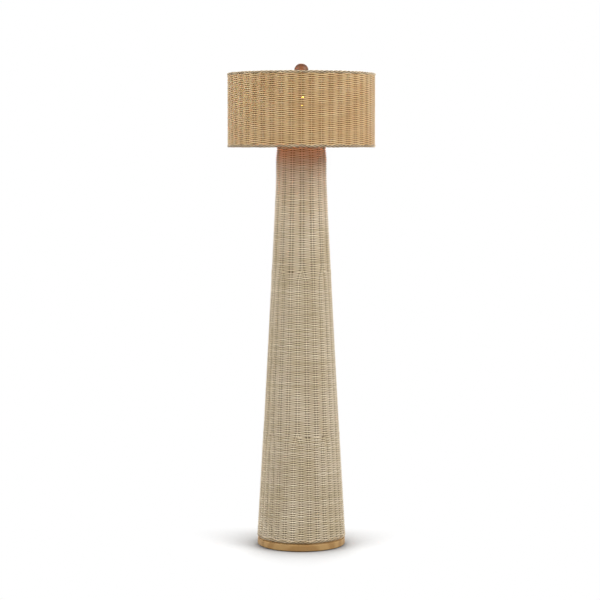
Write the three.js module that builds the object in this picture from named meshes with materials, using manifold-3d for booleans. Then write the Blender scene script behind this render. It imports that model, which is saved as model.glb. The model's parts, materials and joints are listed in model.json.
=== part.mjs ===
// A floor lamp of woven rattan: a tall tapering column under a drum shade.
// Millimetres, +Z up. The origin is on the floor under the middle of the base, and the front faces -Y.
import * as THREE from "three";
import { mergeVertices } from "three/addons/utils/BufferGeometryUtils.js";
import Module from "manifold-3d";

const wasm = await Module();
wasm.setup();

// Fits
const SEAT_GAP = 0.3; // between pieces that touch
const RUNNING_GAP = 0.4; // round a shaft or a thread that turns
const OVERRUN = 2; // how far a cutter passes the face that it cuts
const WELD_DISTANCE = 0.0005; // points nearer than this are one point

// Facets
const WIDE_SEGMENTS = 36;
const HIDDEN_SEGMENTS = 20;
const SMALL_SEGMENTS = 16;
const ROD_SIDES = 6;
const HEX_SIDES = 6;
const ROUND_STEPS = 2; // facets in a quarter of a rounded edge

// Base
const PAD_RADIUS = 136;
const PAD_THICKNESS = 1.5;
const PLATE_RADIUS = 142;
const PLATE_THICKNESS = 25;
const PLATE_ROUND = 2.5;
const RECESS_RADIUS = 24; // under the plate, for the washer and nut
const RECESS_DEPTH = 12;
const WEIGHT_RADIUS = 110;
const WEIGHT_THICKNESS = 26;
const WEIGHT_ROUND = 3;

// Cord exit at the rear of the base plate
const CORD_HOLE_RADIUS = 4;
const CHANNEL_WIDTH = 9;
const GROMMET_WIDTH = 12.4;
const GROMMET_LENGTH = 13;
const GROMMET_INSET = 1; // of its face behind the rim of the plate
const ARCH_STEPS = 12;

// Centre pipe and its fasteners
const PIPE_RADIUS = 5;
const PIPE_BORE_RADIUS = 3.5;
const PIPE_ABOVE_CAP = 6; // above the floor of the socket cap
const NUT_ACROSS_CORNERS = 19;
const NUT_HEIGHT = 5;
const WASHER_RADIUS = 17;
const WASHER_THICKNESS = 2;

// Body of woven rattan
const BODY_HEIGHT = 1266; // from the plate to the top of its border
const BODY_FOOT_RADIUS = 144;
const BODY_NECK_RADIUS = 82.3;
const NECK_HEIGHT = 105; // the straight neck and the shoulder together
const SHOULDER_HEIGHT = 45;
const SHOULDER_DRAW = 4.9; // how far the shoulder draws in
const TAPER_POWER = 1.08;
const SHOULDER_POWER = 1.2;
const BODY_STAKE = 4; // diameter of an upright stake
const BODY_WEAVER = 2.6; // how thick a weaver lies against a stake
const DIVE_POWER = 3.2; // the higher it is, the nearer to its stake a weaver dives
const BODY_BORDER_HEIGHT = 10;
const UPPER_SPLIT = 857; // above the plate: 16 stakes over it and 24 under
const LOWER_SPLIT = 332; // above the plate: 24 stakes over it and 32 under
const SPLIT_RUN = 45; // height in which two stakes spread apart
const SECTORS = 8; // the pattern of stakes repeats round the body
const STAKES_AT_FOOT = 4; // in a sector
const PATTERN_TURN_SHARE = 1 / 30; // of a sector, past the front
const COLUMNS_IN_SECTOR = 12;

// Where the four stakes of a sector stand, as shares of the sector from its middle.
// Stakes with the same share are still one stake.
const FOOT_STAKE_SHARES = [-7 / 24, -1 / 24, 5 / 24, 11 / 24];
const MIDDLE_STAKE_SHARES = [-1 / 6, -1 / 6, 1 / 6, 1 / 2];
const TOP_STAKE_SHARES = [0, 0, 0, 1 / 2];

// Welded wire frame inside the body
const FRAME_ROD = 3; // radius
const FRAME_BAR_THICKNESS = 3;
const FRAME_BAR_WIDTH = 20;
const FRAME_HUB_RADIUS = 20;
const UPRIGHT_INSET = 1.2; // of the uprights inside the rings that touch the weave
const UPRIGHTS = 4;
const UPRIGHT_STEPS = 6;
const FRAME_TOP_DROP = 13; // of the top ring under the top of the body
const MIDDLE_RING_SHARES = [0.34, 0.68]; // of the height of the frame

// Cap on the body
const CAP_THICKNESS = 4;
const CAP_ROUND = 1;

// Harp and its saddle
const SADDLE_THICKNESS = 2;
const SADDLE_WIDTH = 11;
const SADDLE_POST_RADIUS = 2;
const SADDLE_ARM_HEIGHT = 16;
const SADDLE_POST_HEIGHT = 8;
const HARP_WIRE = 2; // radius
const HARP_FOOT_HALF_SPAN = 30;
const HARP_HALF_WIDTH = 57;
const HARP_HEIGHT = 179; // from its feet to the middle of its eye
const HARP_STRAIGHT = 32; // the legs above their feet
const HARP_EYE_RADIUS = 6.5;
const HARP_STEPS = 30;
const SLEEVE_RADIUS = 4.2;
const SLEEVE_LENGTH = 15;

// Half of the loop above its straight legs: across as shares of the half width, up as shares of the rise
const HARP_OUTLINE_SHARES = [
  [0.62, 0.12],
  [0.82, 0.28],
  [0.97, 0.46],
  [1, 0.6],
  [0.93, 0.75],
  [0.72, 0.9],
  [0.42, 0.985],
  [0.2, 1],
];

// Harp stud, which turns in the eye of the harp
const STUD_HEAD_RADIUS = 4.8;
const STUD_HEAD_THICKNESS = 2;
const STUD_SHANK_RADIUS = 3;
const STUD_FLANGE_RADIUS = 8;
const STUD_FLANGE_THICKNESS = 3;
const STUD_POST_RADIUS = 3.2;
const STUD_POST_HEIGHT = 17;

// Socket
const BULB_BASE_RADIUS = 13;
const BULB_BASE_HEIGHT = 20;
const BULB_CLEARANCE = 0.5; // between the base of the bulb and the screw shell
const SCREW_SHELL_WALL = 0.8;
const LINER_WALL = 1;
const SOCKET_WALL = 1;
const SOCKET_CAP_HEIGHT = 16;
const SOCKET_CAP_NECK_RADIUS = 9;
const SOCKET_CAP_FLOOR = 1.5;
const SOCKET_LEDGE = 4; // width of the rim that the inner pieces stand on
const SOCKET_SHELL_HEIGHT = 42;
const SOCKET_LIP = 1.5; // how far the rim of the shell rolls out
const INTERIOR_HEIGHT = 20;
const SCREW_SHELL_HEIGHT = 19;
const SCREW_SHELL_HOLE_RADIUS = 6;
const CONTACT_RADIUS = 4;
const CONTACT_HEIGHT = 2.4;

// Switch on the front of the socket
const SWITCH_HEIGHT = 10; // of its shaft above the socket cap
const SWITCH_SHAFT_RADIUS = 2;
const SWITCH_SHAFT_DEPTH = 7; // from the middle of the socket to the inner end
const SWITCH_SHAFT_END = 30; // from the middle of the socket to the outer end
const KNOB_RADIUS = 6.5;
const KNOB_LENGTH = 11;
const KNOB_BORE_DEPTH = 7;
const KNOB_FLUTES = 10;
const KNOB_FLUTE_DEPTH = 0.8;
const KNOB_POINTS = 4; // round each flute

// Bulb
const BULB_INSULATOR_HEIGHT = 4;
const BULB_INSULATOR_STEP = 1; // in from the base
const BULB_TIP_RADIUS = 4.2;
const BULB_TIP_HEIGHT = 2;
const GLASS_RADIUS = 30;
const GLASS_HEIGHT = 86;
const GLASS_WALL = 1;
const GLASS_NECK_RADIUS = 12;
const MOUNT_RADIUS = 4.5;
const MOUNT_HEIGHT = 42;

// Outline of the glass: radius as shares of the step from neck to widest, height as shares
const GLASS_SHARES = [
  [0, 0],
  [0.1, 0.12],
  [0.42, 0.3],
  [0.8, 0.46],
  [1, 0.65],
  [0.88, 0.82],
  [0.46, 0.95],
];

// Shade
const SHADE_RADIUS = 238; // over its borders
const SHADE_HEIGHT = 237;
const SHADE_OVERLAP = 5.5; // how far the top of the body stands inside the shade
const SHADE_STAKES = 47;
const SHADE_COLUMNS = 2; // for each stake
const SHADE_STAKE = 3.2; // diameter
const SHADE_WEAVER = 2.2;
const SHADE_BORDER_WIDTH = 8;
const SHADE_BORDER_HEIGHT = 9;
const SHADE_BORDER_PROUD = 1; // past the stakes
const SHADE_ROD = 2; // radius of its wire rings
const SPIDER_ARMS = 3;
const SPIDER_HUB_RADIUS = 14;
const SPIDER_HUB_THICKNESS = 2;

// Finial
const FINIAL_RADIUS = 23;
const FINIAL_NECK_RADIUS = 8.5;
const FINIAL_NECK_HEIGHT = 5;
const FINIAL_NECK_WAIST = 6.5; // radius
const INSERT_RADIUS = 5;
const INSERT_LENGTH = 14; // inside the ball
const INSERT_BORE_LENGTH = 17;
const FINIAL_STEPS = 10;

// Heights above the floor, worked out from the stack of pieces
const plateBottom = PAD_THICKNESS + SEAT_GAP;
const plateTop = plateBottom + PLATE_THICKNESS;
const bodyBottom = plateTop + SEAT_GAP;
const bodyTop = plateTop + BODY_HEIGHT;
const weaveBottom = bodyBottom + BODY_BORDER_HEIGHT + SEAT_GAP;
const weaveTop = bodyTop - BODY_BORDER_HEIGHT - SEAT_GAP;
const frameTop = bodyTop - FRAME_TOP_DROP;
const capBottom = frameTop + FRAME_ROD + SEAT_GAP;
const capTop = capBottom + CAP_THICKNESS;
const lockWasherBottom = capTop + SEAT_GAP;
const lockNutBottom = lockWasherBottom + WASHER_THICKNESS + SEAT_GAP;
const saddleBottom = lockNutBottom + NUT_HEIGHT + SEAT_GAP;
const socketBottom = saddleBottom + SADDLE_THICKNESS + SEAT_GAP;
const socketCapTop = socketBottom + SOCKET_CAP_HEIGHT;
const shellBottom = socketCapTop + SEAT_GAP;
const interiorTop = shellBottom + INTERIOR_HEIGHT;
const screwShellBottom = interiorTop + SEAT_GAP;
const bulbTipBottom = screwShellBottom + CONTACT_HEIGHT + SEAT_GAP;
const insulatorBottom = bulbTipBottom + BULB_TIP_HEIGHT + SEAT_GAP;
const bulbBaseBottom = insulatorBottom + BULB_INSULATOR_HEIGHT + SEAT_GAP;
const glassBottom = bulbBaseBottom + BULB_BASE_HEIGHT + SEAT_GAP;
const harpFoot = saddleBottom + SADDLE_ARM_HEIGHT + SADDLE_POST_HEIGHT + SEAT_GAP;
const harpEye = harpFoot + HARP_HEIGHT;
const studFlangeBottom = harpEye + HARP_WIRE + SEAT_GAP;
const hubBottom = studFlangeBottom + STUD_FLANGE_THICKNESS + SEAT_GAP;
const finialBottom = hubBottom + SPIDER_HUB_THICKNESS + SEAT_GAP;
const ballFlat = finialBottom + FINIAL_NECK_HEIGHT + SEAT_GAP;
const ballCentre = ballFlat + Math.sqrt(FINIAL_RADIUS ** 2 - FINIAL_NECK_RADIUS ** 2);
const shadeBottom = bodyTop - SHADE_OVERLAP;
const shadeTop = shadeBottom + SHADE_HEIGHT;
const switchLevel = shellBottom + SWITCH_HEIGHT;

// Radii worked out from the pieces inside them
const bodyWall = BODY_STAKE + BODY_WEAVER + BODY_WEAVER;
const shadeWall = SHADE_STAKE + SHADE_WEAVER + SHADE_WEAVER;
const screwShellInner = BULB_BASE_RADIUS + BULB_CLEARANCE;
const screwShellOuter = screwShellInner + SCREW_SHELL_WALL;
const linerInner = screwShellOuter + SEAT_GAP;
const linerOuter = linerInner + LINER_WALL;
const shellInner = linerOuter + SEAT_GAP;
const shellOuter = shellInner + SOCKET_WALL;
const pipeHole = PIPE_RADIUS + SEAT_GAP;
const switchHole = SWITCH_SHAFT_RADIUS + RUNNING_GAP;
const shadeRingRadius = SHADE_RADIUS - SHADE_BORDER_WIDTH - SEAT_GAP - SHADE_ROD;

const finishes = {
  greigeRattan: new THREE.MeshStandardMaterial({ color: 0xc3b091, roughness: 0.75, metalness: 0 }),
  honeyRattan: new THREE.MeshStandardMaterial({ color: 0xcfa76b, roughness: 0.7, metalness: 0 }),
  honeyWood: new THREE.MeshStandardMaterial({ color: 0xb08a4e, roughness: 0.5, metalness: 0 }),
  redWood: new THREE.MeshStandardMaterial({ color: 0x9b5f41, roughness: 0.45, metalness: 0 }),
  felt: new THREE.MeshStandardMaterial({ color: 0x3b3733, roughness: 0.95, metalness: 0 }),
  iron: new THREE.MeshStandardMaterial({ color: 0x4a4a4a, roughness: 0.8, metalness: 0.6 }),
  blackSteel: new THREE.MeshStandardMaterial({ color: 0x2c2b29, roughness: 0.5, metalness: 0.5 }),
  zincSteel: new THREE.MeshStandardMaterial({ color: 0xb9bcbe, roughness: 0.35, metalness: 0.9 }),
  brass: new THREE.MeshStandardMaterial({ color: 0xb5924c, roughness: 0.3, metalness: 0.9 }),
  blackPlastic: new THREE.MeshStandardMaterial({ color: 0x1f1e1d, roughness: 0.5, metalness: 0 }),
  card: new THREE.MeshStandardMaterial({ color: 0x8d7a5c, roughness: 0.9, metalness: 0 }),
  rubber: new THREE.MeshStandardMaterial({ color: 0x242322, roughness: 0.8, metalness: 0 }),
  glass: new THREE.MeshStandardMaterial({ color: 0xfff3df, roughness: 0.2, metalness: 0 }),
};

const lamp = new THREE.Group();

function addPiece(name, geometry, finish) {
  const mesh = new THREE.Mesh(geometry, finish);
  mesh.name = name;
  lamp.add(mesh);
  return mesh;
}

// A closed mesh with shared points, no collapsed faces, and its faces pointing out
function closedSolid(source) {
  const bare = new THREE.BufferGeometry();
  bare.setAttribute("position", source.getAttribute("position"));
  bare.setIndex(source.getIndex());
  const merged = mergeVertices(bare, WELD_DISTANCE);
  const places = merged.getAttribute("position");
  const corners = merged.getIndex().array;
  const kept = [];
  const [a, b, c] = [new THREE.Vector3(), new THREE.Vector3(), new THREE.Vector3()];
  let volume = 0;
  for (let at = 0; at < corners.length; at += 3) {
    const [i, j, k] = [corners[at], corners[at + 1], corners[at + 2]];
    if (i === j || j === k || k === i) continue;
    kept.push([i, j, k]);
    a.fromBufferAttribute(places, i);
    b.fromBufferAttribute(places, j);
    c.fromBufferAttribute(places, k);
    volume += a.dot(b.cross(c));
  }
  const outward = kept.flatMap(([i, j, k]) => (volume < 0 ? [i, k, j] : [i, j, k]));
  const geometry = new THREE.BufferGeometry();
  geometry.setAttribute("position", places.clone());
  geometry.setIndex(outward);
  geometry.computeVertexNormals();
  return geometry;
}

function toManifold(geometry) {
  const vertProperties = new Float32Array(geometry.getAttribute("position").array);
  const triVerts = new Uint32Array(geometry.getIndex().array);
  return new wasm.Manifold(new wasm.Mesh({ numProp: 3, vertProperties, triVerts }));
}

function fromManifold(solid) {
  const { vertProperties, triVerts } = solid.getMesh();
  const geometry = new THREE.BufferGeometry();
  geometry.setAttribute("position", new THREE.BufferAttribute(new Float32Array(vertProperties), 3));
  geometry.setIndex([...triVerts]);
  return closedSolid(geometry);
}

function joined(...parts) {
  return fromManifold(parts.map(toManifold).reduce((whole, part) => whole.add(part)));
}

function cut(body, ...cutters) {
  const taken = cutters.map(toManifold);
  return fromManifold(taken.reduce((left, cutter) => left.subtract(cutter), toManifold(body)));
}

// A solid turned about Z from a profile of [radius, height] points
function turned(profile, segments) {
  const points = profile.map(([radius, height]) => new THREE.Vector2(radius, height));
  return closedSolid(new THREE.LatheGeometry(points, segments).rotateX(Math.PI / 2));
}

// The profile of a ring or disc with its outer edges rounded. A ring's profile closes on itself.
function discProfile(inner, outer, bottom, top, round) {
  const points = [[inner, bottom]];
  for (const [level, start] of [[bottom + round, -1], [top - round, 0]]) {
    for (let step = 0; step <= ROUND_STEPS; step += 1) {
      const angle = ((start + step / ROUND_STEPS) * Math.PI) / 2;
      points.push([outer - round + round * Math.cos(angle), level + round * Math.sin(angle)]);
    }
  }
  points.push([inner, top]);
  return inner > 0 ? [...points, [inner, bottom]] : points;
}

// A ring or disc with square edges
function plainDisc(inner, outer, bottom, top, segments) {
  const points = [[inner, bottom], [outer, bottom], [outer, top], [inner, top]];
  return turned(inner > 0 ? [...points, [inner, bottom]] : points, segments);
}

// A ring with an oval section, whose flat sides reach its full width
function ovalRing(outer, middle, width, height, sides, segments) {
  const points = [];
  const reach = width / 2 / Math.cos(Math.PI / sides);
  for (let side = 0; side <= sides; side += 1) {
    const angle = ((side + 1 / 2) / sides) * 2 * Math.PI;
    points.push([outer - width / 2 + reach * Math.cos(angle), middle + (height / 2) * Math.sin(angle)]);
  }
  return turned(points, segments);
}

// The widest radius that fits inside a ring whose inner face is made of flat facets
function insideFacets(radius, segments) {
  return radius * Math.cos(Math.PI / segments);
}

function wireRing(radius, middle, wire, segments) {
  return ovalRing(radius + wire, middle, 2 * wire, 2 * wire, ROD_SIDES, segments);
}

function regularOutline(radius, sides) {
  const points = [];
  for (let side = 0; side < sides; side += 1) {
    const angle = (side / sides) * 2 * Math.PI;
    points.push(new THREE.Vector2(radius * Math.cos(angle), radius * Math.sin(angle)));
  }
  return points;
}

// A rod of regular section along a curve
function rod(curve, radius, steps, sides) {
  const outline = new THREE.Shape(regularOutline(radius, sides));
  return closedSolid(new THREE.ExtrudeGeometry(outline, { steps, extrudePath: curve }));
}

function straightRod(start, end, radius, sides) {
  return rod(new THREE.LineCurve3(start, end), radius, 1, sides);
}

function block(width, depth, height, bottom) {
  return closedSolid(new THREE.BoxGeometry(width, depth, height).translate(0, 0, bottom + height / 2));
}

function hexNut(bottom) {
  const outline = new THREE.Shape(regularOutline(NUT_ACROSS_CORNERS / 2, HEX_SIDES));
  outline.holes.push(new THREE.Path(regularOutline(pipeHole, SMALL_SEGMENTS)));
  const settings = { depth: NUT_HEIGHT, bevelEnabled: false };
  return closedSolid(new THREE.ExtrudeGeometry(outline, settings).translate(0, 0, bottom));
}

// A solid whose grid of points closes on itself both ways
function wrappedGrid(rows, columns, pointAt) {
  const places = [];
  const corners = [];
  for (let row = 0; row < rows; row += 1) {
    for (let column = 0; column < columns; column += 1) {
      places.push(...pointAt(row, column));
      const [down, right] = [((row + 1) % rows) * columns, (column + 1) % columns];
      const [a, b] = [row * columns + column, row * columns + right];
      corners.push(a, b, down + right, a, down + right, down + column);
    }
  }
  const geometry = new THREE.BufferGeometry();
  geometry.setAttribute("position", new THREE.Float32BufferAttribute(places, 3));
  geometry.setIndex(corners);
  return closedSolid(geometry);
}

function clampShare(value) {
  return Math.min(1, Math.max(0, value));
}

function mix(from, to, share) {
  return from + (to - from) * share;
}

// The outermost radius of the body at a height above the floor
function bodyRadius(height) {
  const neckBottom = bodyTop - NECK_HEIGHT;
  const shoulderBottom = bodyTop - SHOULDER_HEIGHT;
  const below = Math.max(0, (neckBottom - height) / (neckBottom - bodyBottom));
  const above = clampShare((height - shoulderBottom) / SHOULDER_HEIGHT);
  const taper = (BODY_FOOT_RADIUS - BODY_NECK_RADIUS) * below ** TAPER_POWER;
  return BODY_NECK_RADIUS + taper - SHOULDER_DRAW * above ** SHOULDER_POWER;
}

function shareAbove(split, height) {
  return clampShare((height - plateTop - split) / SPLIT_RUN + 1 / 2);
}

// Where the stakes of a sector stand at a height, as shares of the sector
function stakeShares(height) {
  const [aboveLower, aboveUpper] = [shareAbove(LOWER_SPLIT, height), shareAbove(UPPER_SPLIT, height)];
  return FOOT_STAKE_SHARES.map((foot, stake) => {
    const middle = mix(foot, MIDDLE_STAKE_SHARES[stake], aboveLower);
    return mix(middle, TOP_STAKE_SHARES[stake], aboveUpper);
  });
}

// How far the weave stands out at a place round a sector: 1 over a stake, 0 where weavers cross
function swell(place, height) {
  const stakes = stakeShares(height);
  const ends = [...stakes, stakes[0] + 1];
  const wrapped = stakes[0] + ((((place - stakes[0]) % 1) + 1) % 1);
  const next = ends.findIndex((end, stake) => stake > 0 && wrapped < end);
  const gap = ends[next] - ends[next - 1];
  const between = (wrapped - ends[next - 1]) / gap;
  const wave = Math.abs(Math.cos(Math.PI * between)) ** DIVE_POWER;
  return 1 - (1 - wave) * clampShare(gap * STAKES_AT_FOOT);
}

function bodyWeave() {
  const [lower, upper] = [plateTop + LOWER_SPLIT, plateTop + UPPER_SPLIT];
  const shoulder = bodyTop - SHOULDER_HEIGHT;
  const outside = [
    weaveBottom,
    lower - SPLIT_RUN / 2,
    lower,
    lower + SPLIT_RUN / 2,
    upper - SPLIT_RUN / 2,
    upper,
    upper + SPLIT_RUN / 2,
    bodyTop - NECK_HEIGHT,
    shoulder,
    weaveTop,
  ];
  const inside = [weaveTop, shoulder, bodyTop - NECK_HEIGHT, upper, lower, weaveBottom];
  const levels = [...outside, ...inside];
  const relief = (BODY_STAKE + BODY_WEAVER) / 2;
  return wrappedGrid(levels.length, SECTORS * COLUMNS_IN_SECTOR, (row, column) => {
    const height = levels[row];
    const shift = (1 - shareAbove(LOWER_SPLIT, height)) / 2;
    const place = (column + shift) / COLUMNS_IN_SECTOR;
    const sunk = relief * (1 - swell(place, height));
    const wall = row < outside.length ? -sunk : sunk - bodyWall;
    const radius = bodyRadius(height) + wall;
    const angle = ((place + PATTERN_TURN_SHARE) / SECTORS) * 2 * Math.PI - Math.PI / 2;
    return [radius * Math.cos(angle), radius * Math.sin(angle), height];
  });
}

function bodyBorder(bottom) {
  const middle = bottom + BODY_BORDER_HEIGHT / 2;
  return ovalRing(bodyRadius(middle), middle, bodyWall, BODY_BORDER_HEIGHT, ROD_SIDES, WIDE_SEGMENTS);
}

// The widest radius of what fits inside the body at a height
function innerRadius(height) {
  return insideFacets(bodyRadius(height) - bodyWall, WIDE_SEGMENTS) - SEAT_GAP;
}

function frameRingRadius(height) {
  return innerRadius(height) - FRAME_ROD;
}

function frameUpright(turn) {
  const points = [];
  const bottom = bodyBottom + FRAME_ROD;
  for (let step = 0; step <= UPRIGHT_STEPS; step += 1) {
    const height = mix(bottom, frameTop, step / UPRIGHT_STEPS);
    const radius = frameRingRadius(height) - UPRIGHT_INSET;
    points.push(new THREE.Vector3(radius * Math.cos(turn), radius * Math.sin(turn), height));
  }
  return rod(new THREE.CatmullRomCurve3(points), FRAME_ROD, UPRIGHT_STEPS, ROD_SIDES);
}

// A flat cross whose arms end on a ring of the frame, with a hub round the pipe
function frameCross(height, bottom) {
  const bar = block(2 * frameRingRadius(height), FRAME_BAR_WIDTH, FRAME_BAR_THICKNESS, bottom);
  const arms = [0, 1].map((arm) => bar.clone().rotateZ(((arm + 1 / 2) * Math.PI) / 2));
  const hub = plainDisc(0, FRAME_HUB_RADIUS, bottom, bottom + FRAME_BAR_THICKNESS, SMALL_SEGMENTS);
  return joined(...arms, hub);
}

function bodyFrame() {
  const bottom = bodyBottom + FRAME_ROD;
  const levels = [bottom, ...MIDDLE_RING_SHARES.map((share) => mix(bottom, frameTop, share)), frameTop];
  const rings = levels.map((level) => wireRing(frameRingRadius(level), level, FRAME_ROD, HIDDEN_SEGMENTS));
  const uprights = [];
  for (let upright = 0; upright < UPRIGHTS; upright += 1) {
    uprights.push(frameUpright(((upright + 1 / 2) / UPRIGHTS) * 2 * Math.PI));
  }
  const crosses = [
    frameCross(bottom, bodyBottom),
    frameCross(frameTop, frameTop - FRAME_BAR_THICKNESS / 2),
  ];
  const hole = plainDisc(0, pipeHole, bodyBottom - OVERRUN, bodyTop, SMALL_SEGMENTS);
  return cut(joined(...rings, ...uprights, ...crosses), hole);
}

// A slot with an arched top, open at the bottom of the plate, running out to the rear
function archedBar(width, height, start, end) {
  const outline = new THREE.Shape();
  outline.moveTo(-width / 2, 0);
  outline.lineTo(width / 2, 0);
  outline.lineTo(width / 2, height - width / 2);
  outline.absarc(0, height - width / 2, width / 2, 0, Math.PI);
  outline.lineTo(-width / 2, 0);
  const settings = { depth: end - start, bevelEnabled: false, curveSegments: ARCH_STEPS };
  return new THREE.ExtrudeGeometry(outline, settings).rotateX(Math.PI / 2).translate(0, end, 0);
}

function grommetMiddle() {
  return plateBottom + GROMMET_WIDTH / 2;
}

function basePlate() {
  const profile = discProfile(0, PLATE_RADIUS, plateBottom, plateTop, PLATE_ROUND);
  const recessEnds = [plateBottom - OVERRUN, plateBottom + RECESS_DEPTH];
  const recess = plainDisc(0, RECESS_RADIUS, ...recessEnds, SMALL_SEGMENTS);
  const hole = plainDisc(0, pipeHole, plateBottom, plateTop + OVERRUN, SMALL_SEGMENTS);
  const channelTop = grommetMiddle() + CHANNEL_WIDTH / 2 - plateBottom;
  const channel = archedBar(CHANNEL_WIDTH, channelTop + OVERRUN, 0, PLATE_RADIUS);
  const seatWidth = GROMMET_WIDTH + 2 * SEAT_GAP;
  const seatStart = PLATE_RADIUS - GROMMET_INSET - GROMMET_LENGTH - SEAT_GAP;
  const seat = archedBar(seatWidth, GROMMET_WIDTH + SEAT_GAP + OVERRUN, seatStart, PLATE_RADIUS + OVERRUN);
  const slots = [channel, seat].map((slot) => closedSolid(slot.translate(0, 0, plateBottom - OVERRUN)));
  return cut(turned(profile, WIDE_SEGMENTS), recess, hole, ...slots);
}

function cordGrommet() {
  const rear = PLATE_RADIUS - GROMMET_INSET;
  const body = archedBar(GROMMET_WIDTH, GROMMET_WIDTH, rear - GROMMET_LENGTH, rear);
  const ends = [rear - GROMMET_LENGTH - OVERRUN, rear + OVERRUN];
  const [start, end] = ends.map((y) => new THREE.Vector3(0, y, grommetMiddle()));
  const bore = straightRod(start, end, CORD_HOLE_RADIUS, SMALL_SEGMENTS);
  return cut(closedSolid(body.translate(0, 0, plateBottom)), bore);
}

function baseWeight() {
  const bottom = bodyBottom + FRAME_BAR_THICKNESS + SEAT_GAP;
  const profile = discProfile(pipeHole, WEIGHT_RADIUS, bottom, bottom + WEIGHT_THICKNESS, WEIGHT_ROUND);
  return turned(profile, HIDDEN_SEGMENTS);
}

function addBase() {
  addPiece("felt_pad", plainDisc(0, PAD_RADIUS, 0, PAD_THICKNESS, WIDE_SEGMENTS), finishes.felt);
  addPiece("base_plate", basePlate(), finishes.honeyWood);
  addPiece("cord_grommet", cordGrommet(), finishes.rubber);
  addPiece("base_weight", baseWeight(), finishes.iron);
}

function addPipe() {
  const washerTop = plateBottom + RECESS_DEPTH - SEAT_GAP;
  const washerBottom = washerTop - WASHER_THICKNESS;
  const nutBottom = washerBottom - SEAT_GAP - NUT_HEIGHT;
  const pipeTop = socketBottom + SOCKET_CAP_FLOOR + PIPE_ABOVE_CAP;
  const pipe = plainDisc(PIPE_BORE_RADIUS, PIPE_RADIUS, nutBottom, pipeTop, SMALL_SEGMENTS);
  const lowerWasher = plainDisc(pipeHole, WASHER_RADIUS, washerBottom, washerTop, SMALL_SEGMENTS);
  const lockWasherTop = lockWasherBottom + WASHER_THICKNESS;
  const lockWasher = plainDisc(pipeHole, WASHER_RADIUS, lockWasherBottom, lockWasherTop, SMALL_SEGMENTS);
  addPiece("centre_pipe", pipe, finishes.zincSteel);
  addPiece("base_washer", lowerWasher, finishes.zincSteel);
  addPiece("base_nut", hexNut(nutBottom), finishes.zincSteel);
  addPiece("lock_washer", lockWasher, finishes.brass);
  addPiece("lock_nut", hexNut(lockNutBottom), finishes.brass);
}

function addBody() {
  addPiece("body_frame", bodyFrame(), finishes.blackSteel);
  addPiece("body_weave", bodyWeave(), finishes.greigeRattan);
  addPiece("body_foot_border", bodyBorder(bodyBottom), finishes.greigeRattan);
  addPiece("body_top_border", bodyBorder(bodyTop - BODY_BORDER_HEIGHT), finishes.greigeRattan);
  const capRadius = innerRadius(bodyTop - BODY_BORDER_HEIGHT / 2);
  const capProfile = discProfile(pipeHole, capRadius, capBottom, capTop, CAP_ROUND);
  addPiece("body_top_cap", turned(capProfile, HIDDEN_SEGMENTS), finishes.brass);
}

// A strip across the pipe with an arm and a post at each end
function harpSaddle() {
  const armRise = SADDLE_ARM_HEIGHT - SADDLE_THICKNESS;
  const length = 2 * (HARP_FOOT_HALF_SPAN + SADDLE_THICKNESS / 2);
  const strip = block(length, SADDLE_WIDTH, SADDLE_THICKNESS, saddleBottom);
  const parts = [strip];
  for (const side of [-1, 1]) {
    const x = side * HARP_FOOT_HALF_SPAN;
    const arm = block(SADDLE_THICKNESS, SADDLE_WIDTH, SADDLE_ARM_HEIGHT, saddleBottom).translate(x, 0, 0);
    const postBottom = saddleBottom + armRise;
    const postTop = saddleBottom + SADDLE_ARM_HEIGHT + SADDLE_POST_HEIGHT;
    const post = plainDisc(0, SADDLE_POST_RADIUS, postBottom, postTop, SMALL_SEGMENTS).translate(x, 0, 0);
    parts.push(arm, post);
  }
  const holeEnds = [saddleBottom - OVERRUN, saddleBottom + SADDLE_THICKNESS + OVERRUN];
  const hole = plainDisc(0, pipeHole, ...holeEnds, SMALL_SEGMENTS);
  return cut(joined(...parts), hole);
}

function harpCurve() {
  const straightTop = harpFoot + HARP_STRAIGHT;
  const rise = harpEye - straightTop;
  const half = [
    [HARP_FOOT_HALF_SPAN, harpFoot],
    [HARP_FOOT_HALF_SPAN, (harpFoot + straightTop) / 2],
    [HARP_FOOT_HALF_SPAN, straightTop],
    ...HARP_OUTLINE_SHARES.map(([across, up]) => [across * HARP_HALF_WIDTH, straightTop + up * rise]),
  ];
  const left = half.map(([x, z]) => new THREE.Vector3(-x, 0, z));
  const right = half.map(([x, z]) => new THREE.Vector3(x, 0, z)).reverse();
  return new THREE.CatmullRomCurve3([...left, new THREE.Vector3(0, 0, harpEye), ...right]);
}

function harp() {
  const wire = rod(harpCurve(), HARP_WIRE, HARP_STEPS, ROD_SIDES);
  const eye = plainDisc(0, HARP_EYE_RADIUS, harpEye - HARP_WIRE, harpEye + HARP_WIRE, SMALL_SEGMENTS);
  const holeRadius = STUD_SHANK_RADIUS + RUNNING_GAP;
  const holeEnds = [harpEye - HARP_WIRE - OVERRUN, harpEye + HARP_WIRE + OVERRUN];
  return cut(joined(wire, eye), plainDisc(0, holeRadius, ...holeEnds, SMALL_SEGMENTS));
}

function harpStud() {
  const headTop = harpEye - HARP_WIRE - SEAT_GAP;
  const flangeTop = studFlangeBottom + STUD_FLANGE_THICKNESS;
  const profile = [
    [0, headTop - STUD_HEAD_THICKNESS],
    [STUD_HEAD_RADIUS, headTop - STUD_HEAD_THICKNESS],
    [STUD_HEAD_RADIUS, headTop],
    [STUD_SHANK_RADIUS, headTop],
    [STUD_SHANK_RADIUS, studFlangeBottom],
    [STUD_FLANGE_RADIUS, studFlangeBottom],
    [STUD_FLANGE_RADIUS, flangeTop],
    [STUD_POST_RADIUS, flangeTop],
    [STUD_POST_RADIUS, flangeTop + STUD_POST_HEIGHT],
    [0, flangeTop + STUD_POST_HEIGHT],
  ];
  return turned(profile, SMALL_SEGMENTS);
}

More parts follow.
